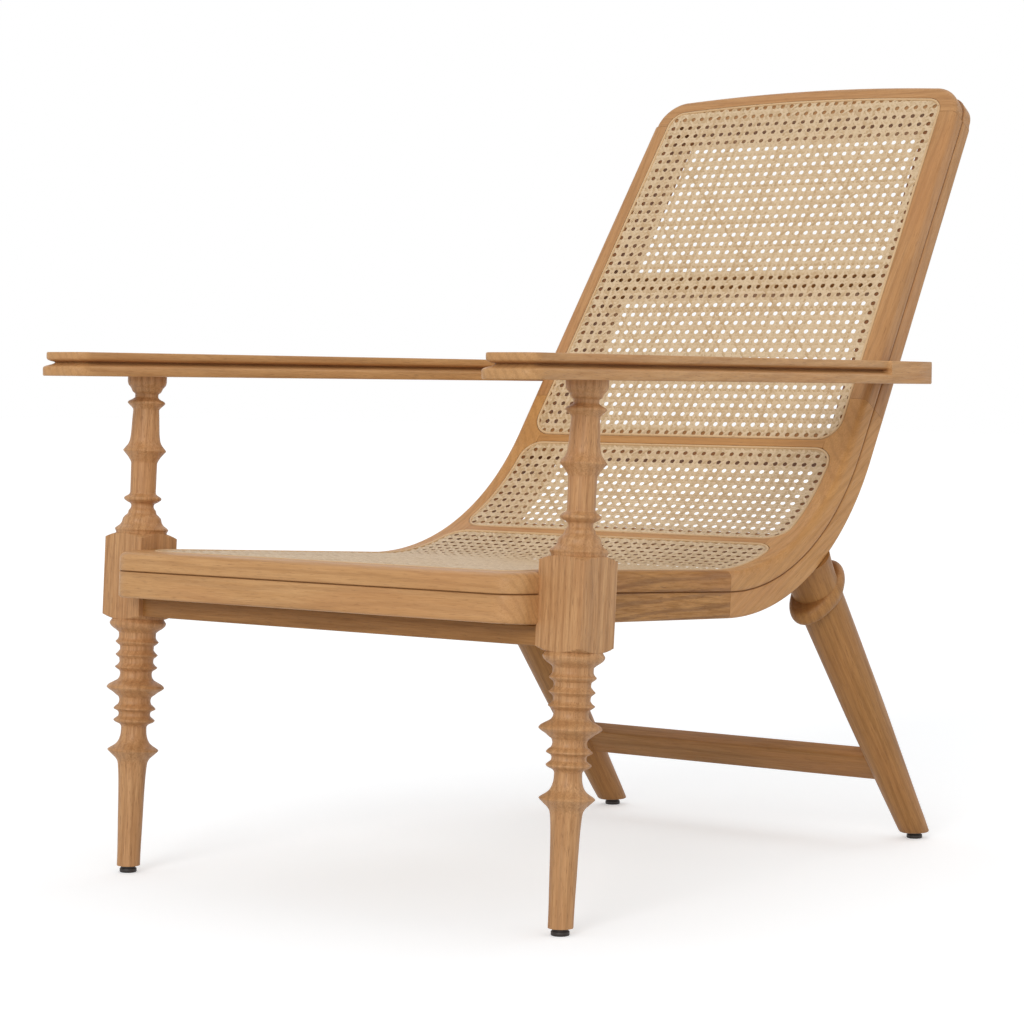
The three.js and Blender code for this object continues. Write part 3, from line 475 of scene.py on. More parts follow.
def panel_outline(panel, offset, corner, run):
    """Once round a cane panel: quarter arcs at the corners, straight sides, a crowned top."""
    low_x, low, low_r, high_x, high, high_r = panel_arcs(panel, offset)
    side = np.linspace(0, 1, int((high - low) / run) + 2)[1:-1]
    top_x = np.linspace(high_x, -high_x, int(2 * high_x / run) + 2)[1:-1]
    top = panel["to"] + offset - panel["crown"] * (top_x / SHELL_TOP) ** 2
    bottom_x = np.linspace(-low_x, low_x, int(2 * low_x / run) + 2)[1:-1]
    start, end = low_x + low_r, high_x + high_r
    right = path(arc(low_x, low, low_r, np.linspace(-math.pi / 2, 0, corner)),
                 (start + (end - start) * side, low + (high - low) * side),
                 arc(high_x, high, high_r, np.linspace(0, math.pi / 2, corner)))
    return np.concatenate([path((bottom_x, panel["from"] - offset)), right,
                           path((top_x, top)), (right * [-1, 1])[::-1]])


def panel_reach(panel, offset, station):
    """How far from the middle a panel's outline lies at a station: the root of the radius
    squared less the distance squared in a corner, and a straight line between the corners."""
    low_x, low, low_r, high_x, high, high_r = panel_arcs(panel, offset)
    low_reach = low_x + np.sqrt(np.maximum(low_r ** 2 - np.maximum(low - station, 0) ** 2, 0))
    high_reach = high_x + np.sqrt(np.maximum(high_r ** 2 - np.maximum(station - high, 0) ** 2, 0))
    line = low_x + low_r + (high_x + high_r - low_x - low_r) * (station - low) / (high - low)
    reach = np.where(station < low, low_reach, np.where(station > high, high_reach, line))
    return np.where((station < panel["from"] - offset) | (station > high + high_r), 0, reach)


PANELS, begin = {}, FRONT_FACE + SPLINE / 2
for label, length in (("seat", SEAT_PANEL), ("lumbar", LUMBAR_PANEL)):
    PANELS[label] = {"from": begin, "to": begin + length, "top_radius": CANE_CORNER, "crown": 0}
    begin += length + SPLINE + STRAP_FACE
PANELS["back"] = {"from": begin, "to": SHELL_LENGTH - TOP_FACE - SPLINE / 2,
                  "top_radius": CANE_TOP_CORNER, "crown": CROWN}


def side_stations(start, end):
    """Stations along a side rail: even steps, with closer ones where a cane corner turns."""
    values = [np.linspace(start, end, int((end - start) / 7) + 2)]
    bend = np.cos(np.linspace(0, math.pi / 2, 12))
    for panel in PANELS.values():
        _, low, low_r, _, high, high_r = panel_arcs(panel, WALL)
        values += [low - low_r * bend, high + high_r * bend]
    values = np.unique(np.round(np.concatenate(values), 2))
    values = values[(values > start + JOINT) & (values < end - JOINT)]
    return np.concatenate([[start], values, [end]])


def side_rail(side, start, end, upper):
    """Rays straight across the rail at each station, with the rebate's wall where the panel's
    outline lies on the rail."""
    station = side_stations(start, end)
    edge = half_width(station)
    inner = edge - RAIL_WIDTH
    wall = np.max([panel_reach(panel, WALL, station) for panel in PANELS.values()], 0)
    wall = np.clip(wall, inner + 0.05, None)
    outer, wall, inner = (path((side * x, station)) for x in (edge, wall, inner))
    return rail(outer, np.broadcast_to([-side * 1.0, 0.0], outer.shape), wall, inner, upper)


def cornered_rail(even, outer, inward, wall, end, upper):
    """A rail with round corners, from half of it. The first even rays meet the wall point for
    point; each later one meets it at an even share of the wall's own corner. They all run on
    to a straight edge at the end station, and are mirrored to the other half."""
    count = len(outer) - even
    index = even - 1 + np.arange(1, count + 1) / count * (len(wall) - even)
    places = np.arange(len(wall))
    bent = path([np.interp(index, places, wall[:, axis]) for axis in (0, 1)])
    wall = np.concatenate([wall[:even], bent])
    halves = outer, inward, wall, path((wall[:, 0], end))
    return rail(*(np.concatenate([(half * [-1, 1])[::-1], half[1:]]) for half in halves), upper)


def front_rail(upper):
    """Rays from the front edge and its round corners to the rebate's wall."""
    low_x, low, low_r, *_ = panel_arcs(PANELS["seat"], WALL)
    x = np.linspace(0, low_x, 60)
    turn = np.linspace(-math.pi / 2, math.asin((FRONT_RAIL - low) / low_r), 30)[1:]
    centre = half_width(FRONT_CORNER) - FRONT_CORNER
    front = np.concatenate([x, np.linspace(low_x, centre, 6)[1:]])
    bend = np.linspace(-math.pi / 2, 0, 18)[1:]
    side = np.linspace(FRONT_CORNER, FRONT_RAIL, 7)[1:]
    outer = path((front, 0.0), arc(centre, FRONT_CORNER, FRONT_CORNER, bend),
                 (half_width(side), side))
    inward = path((0 * front, 1.0), (-np.cos(bend), -np.sin(bend)), (0 * side - 1, 0.0))
    wall = path((x, low - low_r), arc(low_x, low, low_r, turn))
    return cornered_rail(len(x), outer, inward, wall, FRONT_RAIL, upper)


def top_rail(upper):
    """Rays from the crowned top edge and its round corners down to the rebate's wall; each
    starts square to the edge, whose slope is twice the crown times x over the width squared."""
    *_, high_x, high, high_r = panel_arcs(PANELS["back"], WALL)
    x = np.linspace(0, high_x, 50)
    last = math.asin(min(1, (TOP_RAIL_START - high) / high_r))
    turn = np.linspace(math.pi / 2, last, 30)[1:]
    radius = TOP_CORNER if upper else LOWER_TOP_CORNER
    centre = SHELL_TOP - radius
    top = np.concatenate([x, np.linspace(high_x, centre, 3)[1:]])
    bend = np.linspace(math.pi / 2 * 0.95, 0, 24)
    side = np.array([TOP_RAIL_START])
    outer = path((top, crowned(top, SHELL_LENGTH)),
                 arc(centre, crowned(centre, SHELL_LENGTH) - radius, radius, bend),
                 (half_width(side), side))
    slope = -2 * CROWN * top / SHELL_TOP ** 2
    length = np.hypot(slope, 1)
    inward = path((slope / length, -1 / length), (-np.cos(bend), -np.sin(bend)),
                  (0 * side - 1, 0.0))
    wall = path((x, crowned(x, PANELS["back"]["to"] + WALL)), arc(high_x, high, high_r, turn))
    return cornered_rail(len(x), outer, inward, wall, TOP_RAIL_START, upper)


def strap(name, below, above):
    """A strap between two cane panels: at each place across, its section is a ledge, a wall,
    the face, a wall and a ledge, with walls where the panels' outlines run."""
    centre = (PANELS[below]["to"] + PANELS[above]["from"]) / 2
    reach = half_width(centre) - RAIL_WIDTH - JOINT
    x = np.linspace(-reach, reach, 90)
    _, _, _, high_x, high, high_r = panel_arcs(PANELS[below], WALL)
    first = high + np.sqrt(high_r ** 2 - np.maximum(np.abs(x) - high_x, 0) ** 2)
    low_x, low, low_r, *_ = panel_arcs(PANELS[above], WALL)
    last = low - np.sqrt(low_r ** 2 - np.maximum(np.abs(x) - low_x, 0) ** 2)
    half = STRAP_FACE / 2 + SPLINE + STRAP_LEDGE
    bottom, arris = UPPER - STRAP_DEPTH, UPPER - STRAP_ARRIS
    # place along the shell, height and painted shade of each point of the section: dark on the ledges
    # under the cane, slight on the face
    section = (
        (centre - half, bottom, 0.9), (centre - half, LEDGE, 0.9), (first - 0.01, LEDGE, 0.9),
        (first, arris, 0.15), (first + STRAP_ARRIS, UPPER, 0.15), ((first + last) / 2, UPPER, 0.15),
        (last - STRAP_ARRIS, UPPER, 0.15), (last, arris, 0.15), (last + 0.01, LEDGE, 0.6),
        (centre + half, LEDGE, 0.6), (centre + half, bottom, 0.6),
    )
    rings = np.stack([shell_point(x, place, level) for place, level, _ in section], 1)
    painted_shade = np.tile([dark for *_, dark in section], (len(x), 1))
    return piece(name, tube(rings), oak_curved, along=rings, painted_shade=painted_shade)


RUNS = (("seat", FRONT_RAIL + JOINT, SEAT_RUN, oak_striped_and_painted_shade, "oak_frame"),
        ("curve", SEAT_RUN + JOINT, SEAT_RUN + LUMBAR_RUN + CURVE_PAST_ARC, oak_curved, "oak_curved"),
        ("back", SEAT_RUN + LUMBAR_RUN + CURVE_PAST_ARC + JOINT, TOP_RAIL_START - JOINT,
         oak_back_painted_shade, "oak_frame"))
for layer, is_upper in (("upper", True), ("lower", False)):
    # The front and top rails get a lighter painted shade on their ledges under the cane.
    rail_piece(f"{layer}_front_rail", *front_rail(is_upper), oak, ledge=0.3)
    rail_piece(f"{layer}_top_rail", *top_rail(is_upper), oak_back_painted_shade, ledge=0.3)
    for label, side in SIDES:
        for run, start, end, finish, slot in RUNS:
            shape = side_rail(side, start, end, is_upper)
            rail_piece(f"{layer}_{run}_rail_{label}", *shape, finish, slot)

strap("seat_strap", "seat", "lumbar")
strap("lumbar_strap", "lumbar", "back")


def board(name, low, high, place, round_edge=1.5):
    """A straight board across the chair: a rectangle with quarter-round corners, carried from
    one end to the other by a function that places x and the section's two directions."""
    setback, rise = soft_corner(round_edge, 4)
    corner = np.stack([-setback, rise - round_edge], -1)
    width, depth = high[1] - low[1], high[2] - low[2]
    quarters = [corner, (corner * [-1, 1])[::-1], corner * [-1, -1], (corner * [1, -1])[::-1]]
    middles = [(width, depth), (0, depth), (0, 0), (width, 0)]
    section = np.concatenate([q + m for q, m in zip(quarters, middles)]) + [low[1], low[2]]
    x = np.linspace(low[0], high[0], 24)[:, None]
    grid = np.broadcast_arrays(x, section[:, 0], section[:, 1])
    return piece(name, tube(place(*grid)), oak_brown_and_painted_shade, along=np.stack(grid, -1))


def upright(x, y, z):
    """A board's directions taken as x, y and z."""
    return np.stack([x, y, z], -1)


board("front_bearer", *(np.array(corner) / MM - [0, FOOT_Y / MM, 0]
                        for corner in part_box("front_bearer")), upright)
hidden = SHELL_LENGTH - HIDDEN_FROM_TOP
hidden_reach = half_width(hidden) - RAIL_WIDTH - 0.5
under = -lower_depth(hidden)
board("back_cross_rail", (-hidden_reach, hidden - HIDDEN_WIDTH / 2, under),
      (hidden_reach, hidden + HIDDEN_WIDTH / 2, under + HIDDEN_DEPTH), shell_point, 2.5)


# Cane panels

def clip(start, direction, outline):
    """The part of a line inside a convex outline: the latest entry and the earliest exit over
    the outline's edges, each crossing being the edge's distance over the speed towards it."""
    edge = np.roll(outline, -1, 0) - outline
    outward = np.stack([edge[:, 1], -edge[:, 0]], -1)
    speed = outward @ direction
    distance = np.einsum("ij,ij->i", outward, outline - start)
    with np.errstate(divide="ignore", invalid="ignore"):
        crossing = distance / speed
    enter = np.max(crossing[speed < -1e-9], initial=-1e9)
    leave = np.min(crossing[speed > 1e-9], initial=1e9)
    parallel_outside = np.any((np.abs(speed) <= 1e-9) & (distance < 0))
    return (1.0, 0.0) if parallel_outside else (enter, leave)


def strand(line, ends, pattern):
    """One strand of cane: a low ridged ribbon along a straight line in the flat, lifted and
    lowered at the knots of each period, where it passes over and under the others, then laid
    on the shell. Its width, place and shade vary at random."""
    start, direction, lifts = line
    enter, leave = ends
    period, knots, clear, widths, stray = pattern
    count = np.arange(math.floor(enter / period) - 1, math.ceil(leave / period) + 2)
    places = (count[:, None] * period + knots).ravel()
    keep = (places > enter + clear) & (places < leave - clear)
    along = np.concatenate([[enter], places[keep], [leave]])[:, None]
    lift = np.interp(along, places, np.tile(lifts, len(count)))
    wide = STRAND * rng.uniform(*widths) / 2
    normal = np.array([-direction[1], direction[0]])
    line = start + direction * along + normal * rng.uniform(-stray, stray)
    plan = np.stack([line - normal * wide, line, line + normal * wide], 1)
    rings = shell_point(plan[..., 0], plan[..., 1], CANE_LEVEL + lift + np.array([0, THIN, 0]))
    grain = np.stack(np.broadcast_arrays(along, [0, wide, 2 * wide], 0.0), -1)
    grain = (grain + rng.uniform(-400, 400, 3)).reshape(-1, 3)
    return tube(rings), grain, np.full(len(grain), rng.uniform(0, 1) ** 1.4)


def straight_lines(panel):
    """Pairs of strands one pitch apart both ways, woven over and under each other."""
    middle = (panel["from"] + panel["to"]) / 2
    half = math.ceil((panel["to"] - panel["from"]) / 2 / PITCH) + 1
    upright_set = [0.0, middle], np.array([0.0, 1.0]), np.arange(-20, 21) * PITCH, 1
    level_set = [0.0, 0.0], np.array([1.0, 0.0]), middle + np.arange(-half, half + 1) * PITCH, -1
    return [(start + way[::-1] * (place + twin * PAIR), way,
             np.array([1, -1, 0]) * twin * over * THIN * 0.5)
            for start, way, places, over in (upright_set, level_set)
            for place in places for twin in (-1, 1)]


def slanting_lines(panel):
    """Strands that cross between the pairs, one way over the upright pairs and under the level
    ones, and the other way the reverse, which leaves eight-sided gaps."""
    middle = (panel["from"] + panel["to"]) / 2
    span = int((panel["to"] - panel["from"]) / 2 / PITCH) + 22
    return [(np.array([0.0, middle + (count + 0.5) * PITCH]), np.array([turn, 1.0]) / math.sqrt(2),
             turn * THIN * 1.2 * np.array([1.0, 0.0, -1.0, 0.0]))
            for turn in (1.0, -1.0) for count in range(-span, span + 1)]


def weave(label, panel):
    """A panel's straight strands as one piece and its slanting ones as another, cut off at its
    outline. The knots of a slanting strand lie a quarter of the pitch's diagonal apart."""
    outline = panel_outline(panel, 0.8, corner=8, run=40)
    diagonal = PITCH * math.sqrt(2)
    straight = PITCH, np.array([-PAIR, PAIR, PITCH / 2]), 0.6, (0.93, 1.07), 0.14
    slanting = diagonal, np.arange(4) * diagonal / 4, 0.8, (0.9, 1.04), 0.18
    for name, lines, pattern in ((f"cane_{label}", straight_lines(panel), straight),
                                 (f"cane_{label}_slanting", slanting_lines(panel), slanting)):
        strands = []
        for line in lines:
            enter, leave = clip(line[0], line[1], outline)
            if leave - enter >= 5:
                strands.append(strand(line, (enter, leave), pattern))
        skins, grains, tones = zip(*strands)
        piece(name, joined(skins), woven, [f"cane_{label}"],
              along=np.concatenate(grains), tone=np.concatenate(tones), sharp=70)


def spline(name, panel):
    """The reed that holds the cane: a strip with a domed top, carried once round the panel's
    outline, pointing along the outline's own normal in the flat."""
    line = panel_outline(panel, 0, corner=14, run=7)
    ahead, behind = np.roll(line, -1, 0), np.roll(line, 1, 0)
    tangent = (ahead - behind) / np.linalg.norm(ahead - behind, axis=1, keepdims=True)
    normal = np.stack([tangent[:, 1], -tangent[:, 0]], -1)
    half, root = SPLINE / 2 - SPLINE_SLACK, UPPER - SPLINE_ROOT
    turn = np.linspace(0, math.pi, 9)
    across = np.concatenate([[half], half * np.cos(turn), [-half]])
    level = np.concatenate([[root], UPPER - SPLINE_SHOULDER + SPLINE_DOME * np.sin(turn), [root]])
    plan = line[:, None] + normal[:, None] * across[None, :, None]
    rings = shell_point(plan[..., 0], plan[..., 1], level)
    length = np.concatenate([[0], np.cumsum(np.linalg.norm(np.diff(line, axis=0), axis=1))])
    grain = np.stack(np.broadcast_arrays(length[:, None], across, level), -1)
    shade = np.repeat(0.25 + 0.2 * np.sin(length / 60), len(across))
    return piece(name, tube(rings, closed=True), reed, along=grain, tone=shade)


for label, panel in PANELS.items():
    weave(label, panel)
    spline(f"spline_{label}", panel)


# Front legs: level and radius at each turn of the profile

LOWER_TURNING = np.array([
    (0, 12.9), (14, 12.9), (60, 13.8), (100, 14.8), (117, 15.9), (123, 16.8), (127, 19.0),
    (130.5, 22.6), (133.5, 25.8), (136.5, 28.4), (139, 25.6), (141.5, 21.6), (145, 17.9),
    (150, 15.5), (156, 14.3), (162, 14.1), (165, 15.8), (168, 21.8), (169.8, 23.0), (172, 20.8),
    (174.5, 18.0), (177, 17.5), (179.6, 18.6), (182.5, 23.4), (185.5, 21.2), (188, 18.3),
    (192, 17.4), (195.5, 18.3), (198, 21.4), (201, 25.0), (204, 29.8), (206.4, 32.0), (209, 30.3),
    (212, 25.5), (215, 20.3), (218, 18.3), (221.5, 17.6), (224.5, 18.3), (227, 21.6), (229, 23.7),
    (231.5, 20.8), (235, 18.8), (238.5, 19.2), (241, 21.8), (242.8, 23.5), (245, 21.4),
    (249, 18.7), (252.5, 19.0), (255, 22.0), (257.3, 24.0), (260, 21.7), (263, 20.6), (267, 20.7),
    (270, 23.6), (273, 28.0), (276, 30.7), (278.2, 31.4), (281, 29.8), (283, 28.6),
])
UPPER_TURNING = np.array([
    (378.3, 28.0), (381, 28.6), (383, 29.8), (385.5, 27.5), (388, 24.3), (391, 22.3), (395, 21.2),
    (398, 19.0), (401, 15.9), (404, 15.2), (406.5, 13.3), (409, 12.5), (411.5, 13.2), (414, 17.5),
    (416.5, 20.5), (418, 20.8), (420, 18.8), (422.5, 15.0), (425, 14.3), (457, 14.5), (461, 16.2),
    (466, 19.7), (469, 22.4), (471, 23.9), (474, 21.9), (478, 18.8), (483, 16.9), (491, 15.9),
    (505, 15.2), (517, 14.5), (519.5, 16.2), (522.5, 19.4), (524.5, 20.9), (526.5, 19.6),
    (528.5, 15.6), (531, 13.0), (534, 12.9), (537, 15.9), (541, 17.8), (545, 20.9), (549, 21.7),
    (556, 21.7),
])


def blurred(values, reach):
    """Each value becomes the bell-weighted mean of its neighbours, which rounds hard corners."""
    weights = np.exp(-np.linspace(-2, 2, 2 * reach + 1) ** 2)
    padded = np.pad(values, reach, mode="edge")
    return np.convolve(padded, weights / weights.sum(), mode="valid")


def turned_levels(profile, start, end, step=0.75):
    """A turned profile's radius at even levels. Between two measured points it follows a cubic
    whose slope at each point is the harmonic mean of the slopes on both sides, and nought at a
    bead's crest or a cove's bottom, so both come out round."""
    level = np.arange(start, end + step / 2, step)
    place, radius = profile[:, 0], profile[:, 1]
    rise = np.diff(radius) / np.diff(place)
    before, after = rise[:-1], rise[1:]
    same = before * after > 0
    mean = np.where(same, 2 * before * after / np.where(same, before + after, 1), 0)
    slope = np.concatenate([[rise[0]], mean, [rise[-1]]])
    index = np.clip(np.searchsorted(place, level) - 1, 0, len(rise) - 1)
    width = place[index + 1] - place[index]
    t = np.clip((level - place[index]) / width, 0, 1)
    near, far = 1 - 3 * t ** 2 + 2 * t ** 3, 3 * t ** 2 - 2 * t ** 3
    lean_near, lean_far = t - 2 * t ** 2 + t ** 3, t ** 3 - t ** 2
    return level, (near * radius[index] + far * radius[index + 1]
                   + width * (lean_near * slope[index] + lean_far * slope[index + 1]))


def even_turn(count):
    """Even turns once round."""
    return np.linspace(0, 2 * math.pi, count, endpoint=False)


def front_leg(label, side, around=56):
    """A turned leg with a square block left in it. At each level the radius is the turned
    profile's, and in the block it is the lesser of the square's own reach in that direction and
    a cone that turns the block's ends down to a shoulder. The leg then leans back and out."""
    low_level, low_radius = turned_levels(LOWER_TURNING, GLIDE_HEIGHT, BLOCK_BOTTOM - 0.4)
    high_level, high_radius = turned_levels(UPPER_TURNING, BLOCK_TOP + 0.4, 555)
    block_level = np.concatenate([
        BLOCK_BOTTOM + BLOCK_SHOULDER * np.linspace(0, 1, 14),
        np.linspace(BLOCK_BOTTOM + 20, BLOCK_TOP - 20, 8),
        BLOCK_TOP - BLOCK_SHOULDER * np.linspace(1, 0, 14),
    ])
    turn, diagonal = even_turn(around), BLOCK * math.sqrt(2)
    near = np.maximum(np.abs(np.cos(turn)), np.abs(np.sin(turn)))
    square = np.minimum(BLOCK / near, diagonal - BLOCK_ARRIS)
    from_end = np.minimum(block_level - BLOCK_BOTTOM, BLOCK_TOP - block_level) / BLOCK_SHOULDER
    cone = BLOCK_NECK + (diagonal - BLOCK_NECK) * np.clip(from_end, 0, 1) ** 0.8
    cone = np.where(from_end >= 1, np.inf, cone)[:, None]
    ones = np.ones(around)
    radius = np.concatenate([low_radius[:, None] * ones, np.minimum(square, cone),
                             high_radius[:, None] * ones])
    up = np.concatenate([low_level, block_level, high_level])[:, None] * ones
    # How far each level lies below the smoothed profile; a share of it becomes painted shade in the
    # coves.
    hollow = np.clip((blurred(radius.min(1), 9) - radius.min(1)) / 5, 0, 1)
    across, deep = radius * np.cos(turn), radius * np.sin(turn)
    x = across + up * math.sin(side * LEG_SPLAY) + side * LEG_X
    y = deep * math.cos(LEG_RAKE) + up * math.sin(LEG_RAKE)
    z = up * math.cos(LEG_RAKE) - deep * math.sin(LEG_RAKE)
    z[0] = GLIDE_HEIGHT
    return piece(f"front_leg_{label}", tube(np.stack([x, y, z], -1)), oak_turned,
                 along=np.stack([up, across, deep], -1), painted_shade=np.repeat(0.2 * hollow, around),
                 sharp=32)


def glide_foot(name, x, y, around=32):
    """A turned glide: a low drum with a softened tread, narrower where it meets the leg."""
    top = GLIDE_HEIGHT + 0.4
    profile = np.array([(0, 0), (0.86, 0), (0.96, 0.35), (1, 1.1), (1, 4.2), (0.96, 4.7),
                        (0.86, 5.0), (0.86, top), (0, top)])
    turn = even_turn(around)
    reach = np.maximum(GLIDE_RADIUS * profile[:, :1], 0.02)
    level = np.repeat(profile[:, 1:], around, 1)
    rings = np.stack([x + reach * np.cos(turn), y + reach * np.sin(turn), level], -1)
    return piece(name, tube(rings), glide)


for label, side in SIDES:
    front_leg(label, side)
    glide_foot(f"front_glide_{label}", side * LEG_X, 0)
    glide_foot(f"rear_glide_{label}", side * REAR_X, REAR_FOOT)


# Arms

def back_station(level, height):
    """The station on the straight back where a layer at this height passes a level."""
    _, z, _, normal_z = seam(np.array(SEAT_RUN + LUMBAR_RUN))
    return SEAT_RUN + LUMBAR_RUN + (level - z - height * normal_z) / math.cos(BACK_LEAN)


ARM_PROFILE = np.array([
    # depth below the top, setback, setback on the plain rear block
    (0.0, 5.4, 1.2), (0.3, 4.6, 0.5), (1.2, 4.1, 0.1), (3.0, 4.0, 0.0), (6.4, 4.0, 0.0),
    (7.8, 4.6, 0.0), (8.9, 6.2, 0.0), (9.8, 8.6, 0.0), (10.4, 11.0, 0.0), (10.8, 12.8, 0.0),
    (11.4, 13.1, 0.0), (12.0, 12.6, 0.0), (12.7, 11.2, 0.0), (13.4, 9.0, 0.0), (14.1, 6.4, 0.0),
    (14.8, 3.8, 0.0), (15.6, 1.6, 0.0), (16.5, 0.4, 0.0), (17.8, 0.0, 0.0), (21.0, 0.0, 0.0),
    (24.6, 0.0, 0.0), (25.6, 0.5, 0.5), (26.0, 1.6, 1.3),
])
GROOVE_DEPTH = 11.0


def arm(label, side):
    """A moulded board: the outline of the arm, set back at each depth by the edge's profile.
    The moulding runs round the head and along both edges and stops before the plain rear."""
    inner_front = LEG_X + ARM_HEAD_OFFSET - ARM_HEAD
    outer_front = inner_front + 2 * ARM_HEAD
    inner_rear = half_width(back_station(ARM_TOP - ARM_THICK, UPPER)) + JOINT
    outer_rear = inner_rear + ARM_REAR_WIDTH
    head = ARM_FRONT + ARM_HEAD_RADIUS
    corner = np.linspace(0, math.pi / 2, 12)
    run = np.concatenate([np.linspace(head + 8, ARM_STOP - 3, 60),
                          ARM_STOP + np.array([-1.5, -0.5, 0])])
    plain = np.array([ARM_STOP + 1, ARM_STOP + 30, ARM_STOP + 65, ARM_REAR - 1.2])
    y = np.concatenate([run, plain])
    gone = (y - head) / (ARM_REAR - head)
    outer_edge = outer_front + (outer_rear - outer_front) * gone
    inner_edge = inner_front + (inner_rear - inner_front) * gone
    ease = np.concatenate([np.clip((ARM_STOP - run) / 3, 0, 1) ** 0.5, 0 * plain])
    moulded = np.concatenate([np.ones(12), ease, np.zeros(4), ease[::-1], np.ones(12)])
    rings, painted_shades = [], []
    for depth, setback, block in ARM_PROFILE:
        radius, rear = ARM_HEAD_RADIUS - setback, ARM_REAR - block
        inset = block + (setback - block) * ease
        outer_end, inner_end = outer_rear - block, inner_rear + block
        ring = path(
            (outer_front - ARM_HEAD_RADIUS + radius * np.sin(corner), head - radius * np.cos(corner)),
            (outer_edge - inset, y),
            ([outer_end - 0.6, outer_end - 1.4, inner_end + 1.4, inner_end + 0.6],
             [rear - 0.25, rear, rear, rear - 0.25]),
            ((inner_edge + inset)[::-1], y[::-1]),
            (inner_front + ARM_HEAD_RADIUS - radius * np.cos(corner), head - radius * np.sin(corner)),
        )
        rings.append(np.column_stack([ring, np.full(len(ring), ARM_TOP - depth)]))
        # Painted shade in the groove of the moulding, where the moulding runs.
        painted_shades.append(0.7 * math.exp(-((depth - GROOVE_DEPTH) / 0.9) ** 2) * moulded)
    rings = np.array(rings) * [side, 1, 1]
    return piece(f"arm_{label}", tube(rings), oak,
                 along=rings[..., [1, 0, 2]], painted_shade=painted_shades, sharp=40)


for label, side in SIDES:
    arm(label, side)


# Rear legs and stretcher

def leg_line(level):
    """The rear leg's centre line: y falls by the lean's tangent for each step up."""
    return REAR_FOOT - (level - GLIDE_HEIGHT) * math.tan(REAR_LEAN)


def leg_ring(x, level, radius, tilt, turn):
    """A round section of the leaning leg, cut along a plane of its own tilt: its reach along
    the cut is the radius over the cosine of the angle between cut and section."""
    along = radius / math.cos(REAR_LEAN - tilt) * np.sin(turn)
    return np.stack([x + radius * np.cos(turn), leg_line(level) + along * math.cos(tilt),
                     level + along * math.sin(tilt)], -1)


def shell_gap(y, z):
    """How far a point is from the shell's underside, along the radius of the seam's arc."""
    station = SEAT_RUN + SEAM_RADIUS * (np.arctan2(y - ARC_Y, ARC_Z - z) + SEAT_FALL)
    return np.hypot(y - ARC_Y, z - ARC_Z) - SEAM_RADIUS - lower_depth(station)


def seat_meeting(ring):
    """Carries a ring along the leg's line until each point lies just inside the shell's
    underside: the span that holds the meeting is halved again and again."""
    near, far = np.zeros(len(ring)), np.full(len(ring), 90.0)
    for _ in range(30):
        middle = (near + far) / 2
        y, z = (ring[:, 1:] + middle[:, None] * LEG_UP).T
        outside = shell_gap(y, z) > -0.6
        near, far = np.where(outside, middle, near), np.where(outside, far, middle)
    return np.column_stack([np.zeros(len(ring)), near[:, None] * LEG_UP])


def knuckle_reach(turn, offset):
    """How far the oval knuckle reaches in each direction at an offset along the leg: its rim is
    half a circle, and its outline an ellipse, longer fore and aft than across."""
    edge = KNUCKLE_THICK / 2
    rim = KNUCKLE_LENGTH / 2 - edge + np.sqrt(np.maximum(edge ** 2 - offset ** 2, 0))
    oval = rim / np.hypot(np.cos(turn) * KNUCKLE_LENGTH / KNUCKLE_WIDTH, np.sin(turn))
    return np.where(np.abs(offset) < edge, oval, 0)


